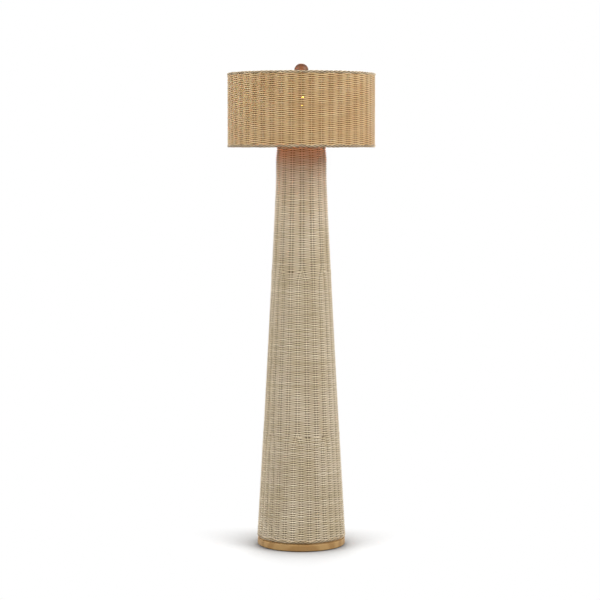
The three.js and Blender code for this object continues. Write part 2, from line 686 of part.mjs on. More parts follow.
function addHarp() {
  addPiece("harp_saddle", harpSaddle(), finishes.brass);
  addPiece("harp", harp(), finishes.brass);
  addPiece("harp_stud", harpStud(), finishes.brass);
  const bottom = saddleBottom + SADDLE_ARM_HEIGHT + SEAT_GAP;
  const bore = HARP_WIRE + RUNNING_GAP;
  for (const [name, side] of [["harp_sleeve_left", -1], ["harp_sleeve_right", 1]]) {
    const sleeve = plainDisc(bore, SLEEVE_RADIUS, bottom, bottom + SLEEVE_LENGTH, SMALL_SEGMENTS);
    addPiece(name, sleeve.translate(side * HARP_FOOT_HALF_SPAN, 0, 0), finishes.brass);
  }
}

function socketCap() {
  const inner = shellOuter - SOCKET_LEDGE;
  const floor = socketBottom + SOCKET_CAP_FLOOR;
  const shoulder = (socketBottom + socketCapTop) / 2;
  const profile = [
    [pipeHole, socketBottom],
    [SOCKET_CAP_NECK_RADIUS, socketBottom],
    [SOCKET_CAP_NECK_RADIUS + SOCKET_WALL, floor],
    [shellOuter - SOCKET_WALL, shoulder],
    [shellOuter, shoulder + SOCKET_WALL],
    [shellOuter, socketCapTop],
    [inner, socketCapTop],
    [inner, shoulder],
    [SOCKET_CAP_NECK_RADIUS, floor + SOCKET_WALL],
    [pipeHole, floor + SOCKET_WALL],
    [pipeHole, socketBottom],
  ];
  return turned(profile, SMALL_SEGMENTS);
}

function socketShell() {
  const top = shellBottom + SOCKET_SHELL_HEIGHT;
  const profile = [
    [shellInner, shellBottom],
    [shellOuter, shellBottom],
    [shellOuter, top - 2 * SOCKET_LIP],
    [shellOuter + SOCKET_LIP, top - SOCKET_LIP],
    [shellOuter + SOCKET_LIP, top],
    [shellInner, top],
    [shellInner, shellBottom],
  ];
  return cut(turned(profile, SMALL_SEGMENTS), switchBore(switchHole));
}

// A bore along the switch's shaft, from its inner end out past the socket
function switchBore(radius) {
  const start = new THREE.Vector3(0, -SWITCH_SHAFT_DEPTH + SEAT_GAP, switchLevel);
  const end = new THREE.Vector3(0, -SWITCH_SHAFT_END, switchLevel);
  return straightRod(start, end, radius, SMALL_SEGMENTS);
}

function screwShell() {
  const top = screwShellBottom + SCREW_SHELL_HEIGHT;
  const floor = screwShellBottom + SCREW_SHELL_WALL;
  const profile = [
    [SCREW_SHELL_HOLE_RADIUS, screwShellBottom],
    [screwShellOuter, screwShellBottom],
    [screwShellOuter, top],
    [screwShellInner, top],
    [screwShellInner, floor],
    [SCREW_SHELL_HOLE_RADIUS, floor],
    [SCREW_SHELL_HOLE_RADIUS, screwShellBottom],
  ];
  return turned(profile, SMALL_SEGMENTS);
}

function addSocket() {
  const linerTop = shellBottom + SOCKET_SHELL_HEIGHT - SOCKET_LIP;
  const liner = plainDisc(linerInner, linerOuter, shellBottom, linerTop, SMALL_SEGMENTS);
  const interior = plainDisc(0, screwShellOuter, shellBottom, interiorTop, SMALL_SEGMENTS);
  const contactTop = screwShellBottom + CONTACT_HEIGHT;
  const contact = plainDisc(0, CONTACT_RADIUS, screwShellBottom, contactTop, SMALL_SEGMENTS);
  addPiece("socket_cap", socketCap(), finishes.brass);
  addPiece("socket_shell", socketShell(), finishes.brass);
  addPiece("socket_liner", cut(liner, switchBore(switchHole)), finishes.card);
  addPiece("socket_interior", cut(interior, switchBore(switchHole)), finishes.blackPlastic);
  addPiece("socket_screw_shell", screwShell(), finishes.brass);
  addPiece("socket_contact", contact, finishes.brass);
}

// A fluted knob with a blind bore, standing on its shaft
function switchKnob() {
  const outline = [];
  const count = KNOB_FLUTES * KNOB_POINTS;
  for (let point = 0; point < count; point += 1) {
    const angle = (point / count) * 2 * Math.PI;
    const radius = KNOB_RADIUS - KNOB_FLUTE_DEPTH * Math.sin((KNOB_FLUTES * angle) / 2) ** 2;
    outline.push(new THREE.Vector2(radius * Math.cos(angle), radius * Math.sin(angle)));
  }
  const settings = { depth: KNOB_LENGTH, bevelEnabled: false };
  const body = new THREE.ExtrudeGeometry(new THREE.Shape(outline), settings).rotateX(Math.PI / 2);
  const face = KNOB_BORE_DEPTH - SEAT_GAP - SWITCH_SHAFT_END;
  const knob = closedSolid(body.translate(0, face, switchLevel));
  const [start, end] = [face + OVERRUN, face - KNOB_BORE_DEPTH];
  const ends = [start, end].map((y) => new THREE.Vector3(0, y, switchLevel));
  return cut(knob, straightRod(...ends, SWITCH_SHAFT_RADIUS + SEAT_GAP, SMALL_SEGMENTS));
}

function addSwitch() {
  const start = new THREE.Vector3(0, -SWITCH_SHAFT_DEPTH, switchLevel);
  const end = new THREE.Vector3(0, -SWITCH_SHAFT_END, switchLevel);
  addPiece("switch_shaft", straightRod(start, end, SWITCH_SHAFT_RADIUS, SMALL_SEGMENTS), finishes.brass);
  addPiece("switch_knob", switchKnob(), finishes.blackPlastic);
}

// The glass is a thin shell that is open at its neck
function bulbGlass() {
  const outline = GLASS_SHARES.map(([out, up]) => [
    mix(GLASS_NECK_RADIUS, GLASS_RADIUS, out),
    glassBottom + up * GLASS_HEIGHT,
  ]);
  const inner = outline.map(([radius, height]) => [radius - GLASS_WALL, height]);
  const top = glassBottom + GLASS_HEIGHT;
  const profile = [[0, top], ...outline.toReversed(), ...inner, [0, top - GLASS_WALL]];
  return turned(profile, SMALL_SEGMENTS);
}

function bulbInsulator() {
  const top = insulatorBottom + BULB_INSULATOR_HEIGHT;
  const profile = [
    [0, insulatorBottom],
    [BULB_TIP_RADIUS, insulatorBottom],
    [BULB_BASE_RADIUS - BULB_INSULATOR_STEP, top],
    [0, top],
  ];
  return turned(profile, SMALL_SEGMENTS);
}

function addBulb() {
  const tipTop = bulbTipBottom + BULB_TIP_HEIGHT;
  const baseTop = bulbBaseBottom + BULB_BASE_HEIGHT;
  const tip = plainDisc(0, BULB_TIP_RADIUS, bulbTipBottom, tipTop, SMALL_SEGMENTS);
  addPiece("bulb_tip", tip, finishes.zincSteel);
  addPiece("bulb_insulator", bulbInsulator(), finishes.blackPlastic);
  const base = plainDisc(0, BULB_BASE_RADIUS, bulbBaseBottom, baseTop, SMALL_SEGMENTS);
  addPiece("bulb_base", base, finishes.zincSteel);
  const mountProfile = [
    [0, glassBottom],
    [MOUNT_RADIUS, glassBottom],
    [MOUNT_RADIUS / 2, glassBottom + MOUNT_HEIGHT / 2],
    [MOUNT_RADIUS / 2, glassBottom + MOUNT_HEIGHT],
    [0, glassBottom + MOUNT_HEIGHT],
  ];
  addPiece("bulb_mount", turned(mountProfile, SMALL_SEGMENTS), finishes.glass);
  addPiece("bulb_glass", bulbGlass(), finishes.glass);
}

function shadeWeave() {
  const [bottom, top] = [shadeBottom, shadeTop].map((edge, end) => {
    const inward = SHADE_BORDER_HEIGHT + SEAT_GAP;
    return end === 0 ? edge + inward : edge - inward;
  });
  const corners = [[bottom, 0], [top, 0], [top, 1], [bottom, 1]];
  const relief = (SHADE_STAKE + SHADE_WEAVER) / 2;
  const widest = SHADE_RADIUS - SHADE_BORDER_PROUD;
  return wrappedGrid(corners.length, SHADE_STAKES * SHADE_COLUMNS, (row, column) => {
    const [height, inside] = corners[row];
    const place = column / SHADE_COLUMNS;
    const sunk = relief * (1 - Math.abs(Math.cos(Math.PI * place)));
    const radius = widest + (inside ? sunk - shadeWall : -sunk);
    const angle = (place / SHADE_STAKES) * 2 * Math.PI - Math.PI / 2;
    return [radius * Math.cos(angle), radius * Math.sin(angle), height];
  });
}

function shadeBorder(middle) {
  return ovalRing(SHADE_RADIUS, middle, SHADE_BORDER_WIDTH, SHADE_BORDER_HEIGHT, ROD_SIDES, WIDE_SEGMENTS);
}

// The top wire ring, three arms that fall to the middle, and the washer that the stud passes
function shadeSpider(ringLevel) {
  const hubMiddle = hubBottom + SPIDER_HUB_THICKNESS / 2;
  const parts = [
    wireRing(shadeRingRadius, ringLevel, SHADE_ROD, WIDE_SEGMENTS),
    plainDisc(0, SPIDER_HUB_RADIUS, hubBottom, hubBottom + SPIDER_HUB_THICKNESS, SMALL_SEGMENTS),
  ];
  for (let arm = 0; arm < SPIDER_ARMS; arm += 1) {
    const turn = (arm / SPIDER_ARMS) * 2 * Math.PI + Math.PI / 2;
    const out = new THREE.Vector3(Math.cos(turn), Math.sin(turn), 0);
    const inner = out.clone().multiplyScalar(SPIDER_HUB_RADIUS - SHADE_ROD).setZ(hubMiddle + SHADE_ROD / 2);
    const outer = out.clone().multiplyScalar(shadeRingRadius).setZ(ringLevel);
    parts.push(straightRod(inner, outer, SHADE_ROD, ROD_SIDES));
  }
  const holeRadius = STUD_POST_RADIUS + RUNNING_GAP;
  const hole = plainDisc(0, holeRadius, hubBottom - OVERRUN, finialBottom + OVERRUN, SMALL_SEGMENTS);
  return cut(joined(...parts), hole);
}

function addShade() {
  const topMiddle = shadeTop - SHADE_BORDER_HEIGHT / 2;
  const bottomMiddle = shadeBottom + SHADE_BORDER_HEIGHT / 2;
  addPiece("shade_weave", shadeWeave(), finishes.honeyRattan);
  addPiece("shade_top_border", shadeBorder(topMiddle), finishes.honeyRattan);
  addPiece("shade_bottom_border", shadeBorder(bottomMiddle), finishes.honeyRattan);
  addPiece("shade_spider", shadeSpider(topMiddle), finishes.brass);
  const ring = wireRing(shadeRingRadius, bottomMiddle, SHADE_ROD, WIDE_SEGMENTS);
  addPiece("shade_bottom_ring", ring, finishes.brass);
}

function finialBall() {
  const points = [[INSERT_RADIUS + SEAT_GAP, ballFlat]];
  const start = Math.asin((ballFlat - ballCentre) / FINIAL_RADIUS);
  for (let step = 0; step <= FINIAL_STEPS; step += 1) {
    const angle = mix(start, Math.PI / 2, step / FINIAL_STEPS);
    const radius = step === FINIAL_STEPS ? 0 : FINIAL_RADIUS * Math.cos(angle);
    points.push([radius, ballCentre + FINIAL_RADIUS * Math.sin(angle)]);
  }
  const boreTop = ballFlat + INSERT_LENGTH + SEAT_GAP;
  const bore = [[0, boreTop], [INSERT_RADIUS + SEAT_GAP, boreTop]];
  return turned([...bore, ...points], WIDE_SEGMENTS / 2);
}

function finialInsert() {
  const bore = STUD_POST_RADIUS + RUNNING_GAP;
  const boreTop = finialBottom + INSERT_BORE_LENGTH;
  const neckTop = finialBottom + FINIAL_NECK_HEIGHT;
  const profile = [
    [0, boreTop],
    [bore, boreTop],
    [bore, finialBottom],
    [FINIAL_NECK_RADIUS, finialBottom],
    [FINIAL_NECK_WAIST, (finialBottom + neckTop) / 2],
    [FINIAL_NECK_RADIUS - SEAT_GAP, neckTop],
    [INSERT_RADIUS, neckTop],
    [INSERT_RADIUS, ballFlat + INSERT_LENGTH],
    [0, ballFlat + INSERT_LENGTH],
  ];
  return turned(profile, SMALL_SEGMENTS);
}

function addFinial() {
  addPiece("finial_insert", finialInsert(), finishes.brass);
  addPiece("finial_ball", finialBall(), finishes.redWood);
}

addBase();
addPipe();
addBody();
addHarp();
addSocket();
addSwitch();
addBulb();
addShade();
addFinial();

export default lamp;
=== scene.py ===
import json
import math

import bpy
import numpy as np
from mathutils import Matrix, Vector

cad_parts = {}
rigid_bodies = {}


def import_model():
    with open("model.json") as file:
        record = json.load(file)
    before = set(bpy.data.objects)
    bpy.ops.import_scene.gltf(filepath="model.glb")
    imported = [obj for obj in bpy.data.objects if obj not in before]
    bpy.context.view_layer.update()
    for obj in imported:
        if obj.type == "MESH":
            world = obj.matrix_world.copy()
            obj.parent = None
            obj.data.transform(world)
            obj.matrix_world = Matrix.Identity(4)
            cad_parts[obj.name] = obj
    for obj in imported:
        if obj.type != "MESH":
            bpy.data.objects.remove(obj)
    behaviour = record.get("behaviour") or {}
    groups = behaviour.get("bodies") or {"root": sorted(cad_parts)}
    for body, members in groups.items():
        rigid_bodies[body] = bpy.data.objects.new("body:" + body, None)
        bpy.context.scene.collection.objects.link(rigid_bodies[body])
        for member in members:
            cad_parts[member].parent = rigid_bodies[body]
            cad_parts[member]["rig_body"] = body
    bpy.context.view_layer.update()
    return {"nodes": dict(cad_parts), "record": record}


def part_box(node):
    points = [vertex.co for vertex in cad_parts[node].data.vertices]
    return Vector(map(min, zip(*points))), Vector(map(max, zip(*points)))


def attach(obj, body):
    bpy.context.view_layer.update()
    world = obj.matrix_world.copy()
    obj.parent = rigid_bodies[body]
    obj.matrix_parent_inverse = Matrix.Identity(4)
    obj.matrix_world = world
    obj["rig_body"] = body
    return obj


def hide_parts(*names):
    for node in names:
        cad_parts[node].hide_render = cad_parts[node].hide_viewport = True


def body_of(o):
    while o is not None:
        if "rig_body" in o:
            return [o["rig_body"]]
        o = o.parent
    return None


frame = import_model()

# Camera, at the photograph's viewing angle
CAMERA_DISTANCE = 6.0
CAMERA_HEIGHT = 1.2737
CAMERA_ASIDE = -0.0042
CAMERA_TILT = math.radians(4.554)
CAMERA_LENS_MM = 111.75
CAMERA_SENSOR_MM = 36

# Stage
FLOOR_HALF = 30
FLOOR_GREY = (0.35, 0.35, 0.35)  # as the light on the object meets it
OPEN_GREY = (0.9, 0.9, 0.9)  # as the camera sees it away from the object
PAINTED_CONTACT_SHADOW_GREY = (0.3, 0.3, 0.3)  # painted shadow: the floor as the camera sees it close to the object
CONTACT_REACH = 0.3  # how far the painted shadow reaches out from the object on the floor
CONTACT_SAMPLES = 8
SHADOW_START = 0.15  # radius at which the shaded floor begins to turn plain white
SHADOW_END = 0.42
WORLD_LIGHT = 0.3
LAMP_SIZE = 4
LAMP_AIM = (0, 0, 1)

# Lamps: name, place and watts
LAMPS = (
    ("key_light", (3.9, -2.25, 3.8), 280),
    ("fill_light", (-3.9, -2.25, 3.6), 212),
    ("back_light", (0, 4.5, 3.8), 215),
)

# Body: the same sizes as the solid model
BODY_FOOT_RADIUS = 0.144
BODY_NECK_RADIUS = 0.0823
NECK_HEIGHT = 0.105
SHOULDER_HEIGHT = 0.045
SHOULDER_DRAW = 0.0049
TAPER_POWER = 1.08
SHOULDER_POWER = 1.2
BODY_STAKE = 0.004
BODY_WEAVER = 0.0026
BODY_PITCH = 0.00368
UPPER_SPLIT = 0.857
LOWER_SPLIT = 0.332
SPLIT_RUN = 0.045
SPLIT_LEAD = 0.007
SECTORS = 8
PATTERN_TURN_SHARE = 1 / 30

# Where the four stakes of a sector stand, as shares of the sector from its middle
FOOT_STAKE_SHARES = (-7 / 24, -1 / 24, 5 / 24, 11 / 24)
MIDDLE_STAKE_SHARES = (-1 / 6, -1 / 6, 1 / 6, 1 / 2)
TOP_STAKE_SHARES = (0, 0, 0, 1 / 2)

# Each tier of the body: its name, the first and last stake of each group that a weaver
# goes round in one, and the pieces that it is made in
TIERS = (
    ("foot", ((0, 0), (1, 1), (2, 2), (3, 3)), 3),
    ("middle", ((0, 1), (2, 2), (3, 3)), 4),
    ("top", ((0, 2), (3, 3)), 3),
)

# Shade
SHADE_STAKES = 47
SHADE_STAKE = 0.0032
SHADE_WEAVER = 0.0022
SHADE_PITCH = 0.00331
SHADE_PARTS = 3
SHADE_BORDER_WIDTH = 0.008
SHADE_WIRE = 0.004
SPIDER_ARMS = 3
SPIDER_HUB_RADIUS = 0.014
SPIDER_HUB_THICKNESS = 0.002
SPIDER_HUB_HOLE = 0.0036

# Places on the front of the shade where the weave opens a little: angle and height
GLINTS = ((math.radians(-89.2), 1.4437), (math.radians(-89.8), 1.415))
GLINT_WIDTH = 0.005
GLINT_HEIGHT = 0.0024
GLINT_SHARE = 0.18  # by which a weaver narrows there

# Weave
WAVE_SHARES = (0, 0.08, 0.16, 0.24, 0.33, 0.5, 0.67, 0.76, 0.84, 0.92)  # from a stake to the next
BODY_DIVE_POWER = 3.2  # the higher it is, the nearer to its stake a weaver dives
SHADE_DIVE_POWER = 1.6
BODY_REED_SHARE = 0.4  # of the wall that a weaver is thick
SHADE_REED_SHARE = 0.57  # over a half, so that rows before and behind a stake leave no slanted gap
BODY_STAKE_RISE = 0.55  # how much painted shade the stakes take: 0 as much as the deepest dip, 1 none, like a weaver in front
SHADE_STAKE_RISE = 0.42
STAKE_TONE = 0.5
HUG = 0.0012  # half of the stretch that lies flat on a stake
LONG_RIPPLE = 0.0007  # how far a row strays up or down
SHORT_RIPPLE = 0.0003
LEAST_SWING_SHARE = 0.92  # of the room that a row of the body has to swing in and out
TONE_DRIFT = 0.16  # how far the tone of a row changes in long waves round the body
TONE_FLICKER = 0.1  # how far it changes in short waves
SHADE_TONE_RATES = (0.73, 0.029, 0.011)  # of the waves in the tone of the shade, in radians to a stake
WEAVER_SIDES = 8
WEAVER_SQUARE_POWER = 0.6  # 1 makes the section of a weaver an ellipse, and less makes it fuller
ROW_OVERLAP_SHARE = 0.04  # by which rows press into each other where they cross
SQUEEZE_SHARE = 0.02  # by which the width of a weaver varies
ROPE_STRANDS = 4
ROPE_LAY = 0.064  # length in which a strand goes once round the border
ROPE_STRAY = 0.0003
GROOVE_SHARE = 0.7  # of the way out from the middle of a rope, inside which the painted shade in its grooves is deepest
STEPS_IN_LAY = 24
STAKE_SIDES = 8
STAKE_RINGS = 120

# Base
PLATE_ROUND = 0.0025
PLATE_STEP_DEPTH = 0.006  # the step round its top edge, which lies in the shadow of the body
PLATE_STEP_HEIGHT = 0.0045
RECESS_RADIUS = 0.024
RECESS_DEPTH = 0.012
PIPE_HOLE = 0.0053
CHANNEL_WIDTH = 0.009
CORD_HOLE_RADIUS = 0.004
SEAT_GAP = 0.0003  # between pieces that are seated on each other
EDGE = 0.0006  # small rounding on hard edges
OVERRUN = 0.002  # how far a cutter passes the face that it cuts

# Harp and its fittings
HARP_WIRE = 0.004
HARP_STRAIGHT = 0.032
HARP_EYE_HOLE = 0.0034
HARP_EYE_RADIUS = 0.0065
SADDLE_THICKNESS = 0.002
SADDLE_ARM_HEIGHT = 0.016
SADDLE_BEND = 0.0045
SADDLE_POST_RADIUS = 0.002
SLEEVE_WALL = 0.0018
STUD_HEAD_RADIUS = 0.0048
STUD_HEAD_THICKNESS = 0.002
STUD_SHANK_RADIUS = 0.003
STUD_FLANGE_RADIUS = 0.008
STUD_FLANGE_THICKNESS = 0.003
STUD_POST_RADIUS = 0.0032
STUD_PITCH = 0.0012
THREAD_SHARE = 0.55  # of its pitch by which a thread is deep
RINGS_IN_PITCH = 10

# Half of the harp's loop above its straight legs: across and up, as shares of its half width and rise
HARP_OUTLINE_SHARES = (
    (0.62, 0.12),
    (0.82, 0.28),
    (0.97, 0.46),
    (1, 0.6),
    (0.93, 0.75),
    (0.72, 0.9),
    (0.42, 0.985),
    (0.2, 1),
)

# Socket, switch and bulb
SOCKET_WALL = 0.001
SOCKET_LIP = 0.0015
CAP_NECK_RADIUS = 0.009
CAP_LEDGE = 0.004
KNOB_FLUTES = 18
KNOB_FLUTE_DEPTH = 0.0006
STEPS_IN_FLUTE = 8
KNOB_DOME = 0.0012
KNOB_SHOULDER_SHARE = 0.8  # of its radius at which the face of the knob starts to flatten
KNOB_FACE_SHARE = 0.4  # of its radius up to which the face is flat
BULB_PITCH = 0.0036
BULB_THREAD_DEPTH = 0.0009
GLASS_NECK_RADIUS = 0.012
BULB_GLOW = 110

# Outline of the glass: radius as shares of the step from neck to widest, height as shares
GLASS_SHARES = (
    (0, 0),
    (0.1, 0.12),
    (0.42, 0.3),
    (0.8, 0.46),
    (1, 0.65),
    (0.88, 0.82),
    (0.46, 0.95),
    (0, 0.993),
)

FINIAL_WAIST_SHARE = 0.77
FINIAL_STEPS = 28
WIDE_SEGMENTS = 144
ROUND_SEGMENTS = 72
SMALL_SEGMENTS = 36
WIRE_SIDES = 12
CREASE = math.radians(35)
FRONT = -math.pi / 2

# Finishes. A scale says how fine a noise is along each axis, and a depth is that of the bumps
WHITE = (1, 1, 1)
STAIN_SCALE = (13, 13, 6)
STAIN_RANGE = (0.42, 0.72)  # of the noise, from no stain to a full one
FIBRE_SCALE = (60, 60, 1500)
FIBRE_SHADE = (0.8, 0.78, 0.75)
FIBRE_SHARE = 0.8  # how strongly fibres show
FIBRE_DEPTH = 0.0003
FIBRE_GLOSS_RANGE = (-0.6, 1.3)  # of the fibres' noise, from a roughness of 0 to one of 1
THROUGH_SHARES = (1, 0.4, 0.14)  # how far red, green and blue go through rattan
THROUGH_DEPTH = 0.003
PORE_SCALE = (25, 900, 900)
PORE_SHADE = (0.75, 0.7, 0.64)
PORE_SHARE = 0.6
PORE_DEPTH = 0.0002
WOOD_UNEVENNESS = 0.4
BRUSH_SCALE = (30, 30, 2500)
BRUSH_DEPTH = 0.00005
METAL_UNEVENNESS = 0.625
MIX_INPUTS = (0, 6, 7)  # where a mix node has its factor and its two colours
MIX_OUTPUT = 2

# Rattans: the tones of strands, the tone of stains, the tone of the painted shade in dips and grooves, and
# how much light goes through
RATTANS = {
    "greige_rattan": (
        ((204, 188, 157), (220, 204, 175), (212, 195, 169), (230, 216, 189)),
        (238, 234, 222),
        (130, 118, 101),
        0,
    ),
    "honey_rattan": (
        ((204, 173, 126), (218, 188, 141), (210, 178, 131), (226, 199, 153)),
        (240, 230, 214),
        (158, 134, 104),
        0.2,
    ),
    "pale_rattan": (
        ((190, 168, 134), (210, 188, 153), (198, 176, 141), (218, 198, 162)),
        (226, 218, 204),
        (78, 64, 50),
        0,
    ),
}

# Woods: the light and the dark tone, the middle of the growth rings, and how close they lie
WOODS = {
    "honey_wood": ((184, 147, 95), (164, 126, 77), (0, 0.3, 0.05), 9),
    "red_wood": ((116, 73, 41), (91, 53, 29), (0, 0.01, -1.52), 22),
}

# Metals: two tones
METALS = {
    "brass": ((200, 165, 95), (180, 142, 78)),
    "zinc_steel": ((196, 198, 200), (176, 178, 180)),
}

# Matt surfaces: two tones, unevenness of the gloss, scale and depth of the tooth, and specular level
MATT_SURFACES = {
    "black_steel": ((44, 43, 41), (34, 33, 32), 0.45, 600, 0.0001, 0.5),
    "iron": ((66, 66, 66), (48, 47, 46), 0.75, 500, 0.0004, 0.5),
    "black_plastic": ((40, 39, 38), (30, 29, 29), 0.5, 1800, 0.00005, 0.5),
    "rubber": ((38, 37, 36), (28, 28, 27), 0.8, 900, 0.0001, 0.2),
    "felt": ((62, 57, 52), (46, 42, 38), 0.95, 1500, 0.0005, 0.1),
    "card": ((150, 130, 100), (130, 110, 82), 0.9, 700, 0.0002, 0.2),
    "bulb_white": ((245, 240, 230), (235, 228, 214), 0.4, 400, 0.0001, 0.5),
}

random = np.random.default_rng(7)
SLOTS = {part["node"]: part["material_slot"] for part in frame["record"]["subparts"]}


def node_low(name):
    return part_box(name)[0].z


def node_top(name):
    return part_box(name)[1].z


def node_radius(name):
    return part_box(name)[1].x


def node_levels(name):
    return node_low(name), node_top(name)


plate_top = node_top("base_plate")
body_bottom = node_low("body_foot_border")
body_top = node_top("body_top_border")
body_wall = BODY_STAKE + 2 * BODY_WEAVER
shade_wall = SHADE_STAKE + 2 * SHADE_WEAVER
shade_middle = -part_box("shade_weave")[0].y - shade_wall / 2


# Shader nodes


class Graph:
    """The nodes of a material or a world, with short ways to add and join them"""

    def __init__(self, owner):
        owner.use_nodes = True
        self.nodes = owner.node_tree.nodes
        self.links = owner.node_tree.links
        self.shader = self.nodes.get("Principled BSDF")

    def add(self, kind, **inputs):
        node = self.nodes.new(kind)
        for name, value in inputs.items():
            self.put(node.inputs[name.replace("_", " ")], value)
        return node

    def put(self, socket, value):
        if isinstance(value, bpy.types.NodeSocket):
            self.links.new(value, socket)
        else:
            socket.default_value = value

    def join(self, kind, *inputs, operation=None):
        """A node that takes its inputs in their order"""
        node = self.nodes.new(kind)
        if operation:
            node.operation = operation
        for socket, value in zip(node.inputs, inputs):
            self.put(socket, value)
        return node

    def attribute(self, name):
        node = self.nodes.new("ShaderNodeAttribute")
        node.attribute_name = name
        return node.outputs["Fac"]

    def place(self, **change):
        """The object's own place, moved or scaled"""
        own = self.add("ShaderNodeTexCoord").outputs["Object"]
        return self.add("ShaderNodeMapping", Vector=own, **change).outputs["Vector"]

    def noise(self, scale, detail=2, roughness=0.5):
        """Noise with a scale for each axis"""
        place = self.place(Scale=scale)
        noise = self.add("ShaderNodeTexNoise", Vector=place, Scale=1, Detail=detail, Roughness=roughness)
        return noise.outputs["Fac"]

    def ramp(self, factor, stops):
        node = self.add("ShaderNodeValToRGB", Fac=factor)
        elements = node.color_ramp.elements
        while len(elements) < len(stops):
            elements.new(1)
        for element, (position, tone) in zip(elements, stops):
            element.position = position
            element.color = (*tone, 1)
        return node.outputs["Color"]

    def spread(self, factor, low, high):
        """The factor stretched so that low becomes 0 and high becomes 1"""
        return self.add("ShaderNodeMapRange", Value=factor, From_Min=low, From_Max=high).outputs["Result"]

    def uneven(self, factor, share):
        """A roughness of about a half that follows the factor by a share"""
        return self.spread(factor, 0.5 - 0.5 / share, 0.5 + 0.5 / share)

    def mix(self, factor, first, second, blend="MIX"):
        node = self.nodes.new("ShaderNodeMix")
        node.data_type = "RGBA"
        node.blend_type = blend
        for index, value in zip(MIX_INPUTS, (factor, first, second)):
            self.put(node.inputs[index], value)
        return node.outputs[MIX_OUTPUT]

    def bump(self, height, distance, strength):
        node = self.add("ShaderNodeBump", Height=height, Distance=distance, Strength=strength)
        self.set(Normal=node.outputs["Normal"])

    def set(self, **inputs):
        for name, value in inputs.items():
            self.put(self.shader.inputs[name.replace("_", " ")], value)


def linear(red, green, blue):
    """A colour as a screen shows it, from 0 to 255, as the light that it stands for"""
    return tuple((value / 255) ** 2.2 for value in (red, green, blue))


def colour(red, green, blue):
    return (*linear(red, green, blue), 1)


def make_rattan(graph, tones, stain, dip_shade_tone, through):
    """Peeled rattan: a tone for each strand, soft stains, fibres along it, and painted shade in its dips
    and grooves
    """
    stops = [(step / (len(tones) - 1), linear(*tone)) for step, tone in enumerate(tones)]
    base = graph.ramp(graph.attribute("tone"), stops)
    patch = graph.spread(graph.noise(STAIN_SCALE, detail=3, roughness=0.55), *STAIN_RANGE)
    soft = graph.mix(patch, base, graph.mix(1, base, colour(*stain), "MULTIPLY"))
    fibre = graph.noise(FIBRE_SCALE, detail=4, roughness=0.65)
    fine = graph.ramp(fibre, [(0.25, FIBRE_SHADE), (0.6, WHITE)])
    streaked = graph.mix(FIBRE_SHARE, soft, fine, "MULTIPLY")
    # Painted shade: darker where a strand lies back behind a stake or in a rope's groove, from the rise at
    # each point
    painted_dip_shade = graph.ramp(graph.attribute("rise"), [(0.1, linear(*dip_shade_tone)), (0.62, WHITE)])
    graph.set(Base_Color=graph.mix(1, streaked, painted_dip_shade, "MULTIPLY"))
    graph.set(Roughness=graph.spread(fibre, *FIBRE_GLOSS_RANGE), Specular_IOR_Level=0.3)
    graph.set(Sheen_Weight=0.25, Sheen_Roughness=0.45)
    if through:
        graph.set(Subsurface_Weight=through, Subsurface_Radius=THROUGH_SHARES)
        graph.set(Subsurface_Scale=THROUGH_DEPTH)
    graph.bump(fibre, FIBRE_DEPTH, 0.5)


def make_wood(graph, light, dark, centre, ring_scale):
    """Sawn wood: wavy growth rings round an axis along X, pores along the grain, under a satin finish"""
    wave = {"Scale": ring_scale, "Distortion": 4, "Detail": 3, "Detail Scale": 1.2}
    rings = graph.add("ShaderNodeTexWave", Vector=graph.place(Location=centre), **wave)
    rings.wave_type = "RINGS"
    rings.rings_direction = "X"
    grain = graph.ramp(rings.outputs["Fac"], [(0.1, linear(*dark)), (0.75, linear(*light))])
    pores = graph.noise(PORE_SCALE, detail=3, roughness=0.6)
    fine = graph.ramp(pores, [(0.3, PORE_SHADE), (0.55, WHITE)])
    graph.set(Base_Color=graph.mix(PORE_SHARE, grain, fine, "MULTIPLY"))
    graph.set(Roughness=graph.uneven(pores, WOOD_UNEVENNESS), Specular_IOR_Level=0.3)
    graph.set(Coat_Weight=0.1, Coat_Roughness=0.3)
    graph.bump(pores, PORE_DEPTH, 0.3)


def make_metal(graph, tone, stain):
    """Metal with fine brushing and a slight change of tone"""
    cloud = graph.spread(graph.noise((60, 60, 60), detail=3), 0.35, 0.7)
    lines = graph.noise(BRUSH_SCALE, detail=3, roughness=0.7)
    graph.set(Base_Color=graph.mix(cloud, colour(*tone), colour(*stain)))
    graph.set(Metallic=1, Roughness=graph.uneven(lines, METAL_UNEVENNESS))
    graph.bump(lines, BRUSH_DEPTH, 0.3)


def make_matt(graph, tone, stain, unevenness, scale, depth, specular):
    """A matt surface with a slight change of tone and a fine tooth"""
    cloud = graph.spread(graph.noise((40, 40, 40), detail=3), 0.3, 0.7)
    tooth = graph.noise((scale, scale, scale), detail=3, roughness=0.7)
    graph.set(Base_Color=graph.mix(cloud, colour(*tone), colour(*stain)))
    graph.set(Roughness=graph.uneven(tooth, unevenness), Specular_IOR_Level=specular)
    graph.bump(tooth, depth, 0.6)


def make_glowing_glass(graph):
    """Frosted glass, lit from inside with a warm light"""
    cloud = graph.spread(graph.noise((30, 30, 30)), 0.3, 0.7)
    frost = graph.mix(cloud, colour(246, 240, 230), colour(240, 232, 220))
    warm = graph.mix(cloud, colour(255, 147, 24), colour(255, 141, 21))
    graph.set(Base_Color=frost, Roughness=0.35, Emission_Color=warm, Emission_Strength=BULB_GLOW)


def make_finishes():
    """A material for each of the record's slots, and the pale rattan of the borders"""
    kinds = (
        (make_rattan, RATTANS),
        (make_wood, WOODS),
        (make_metal, METALS),
        (make_matt, MATT_SURFACES),
        (make_glowing_glass, {"bulb_glass": ()}),
    )
    made = {}
    for make, looks in kinds:
        for name, look in looks.items():
            made[name] = bpy.data.materials.new(name)
            make(Graph(made[name]), *look)
    return made


finishes = make_finishes()


def dress_nodes():
    """The solid model's own nodes take their materials, for those that no piece stands for"""
    for name, node in frame["nodes"].items():
        for slot in node.material_slots:
            slot.material = finishes[SLOTS[name]]


# Meshes


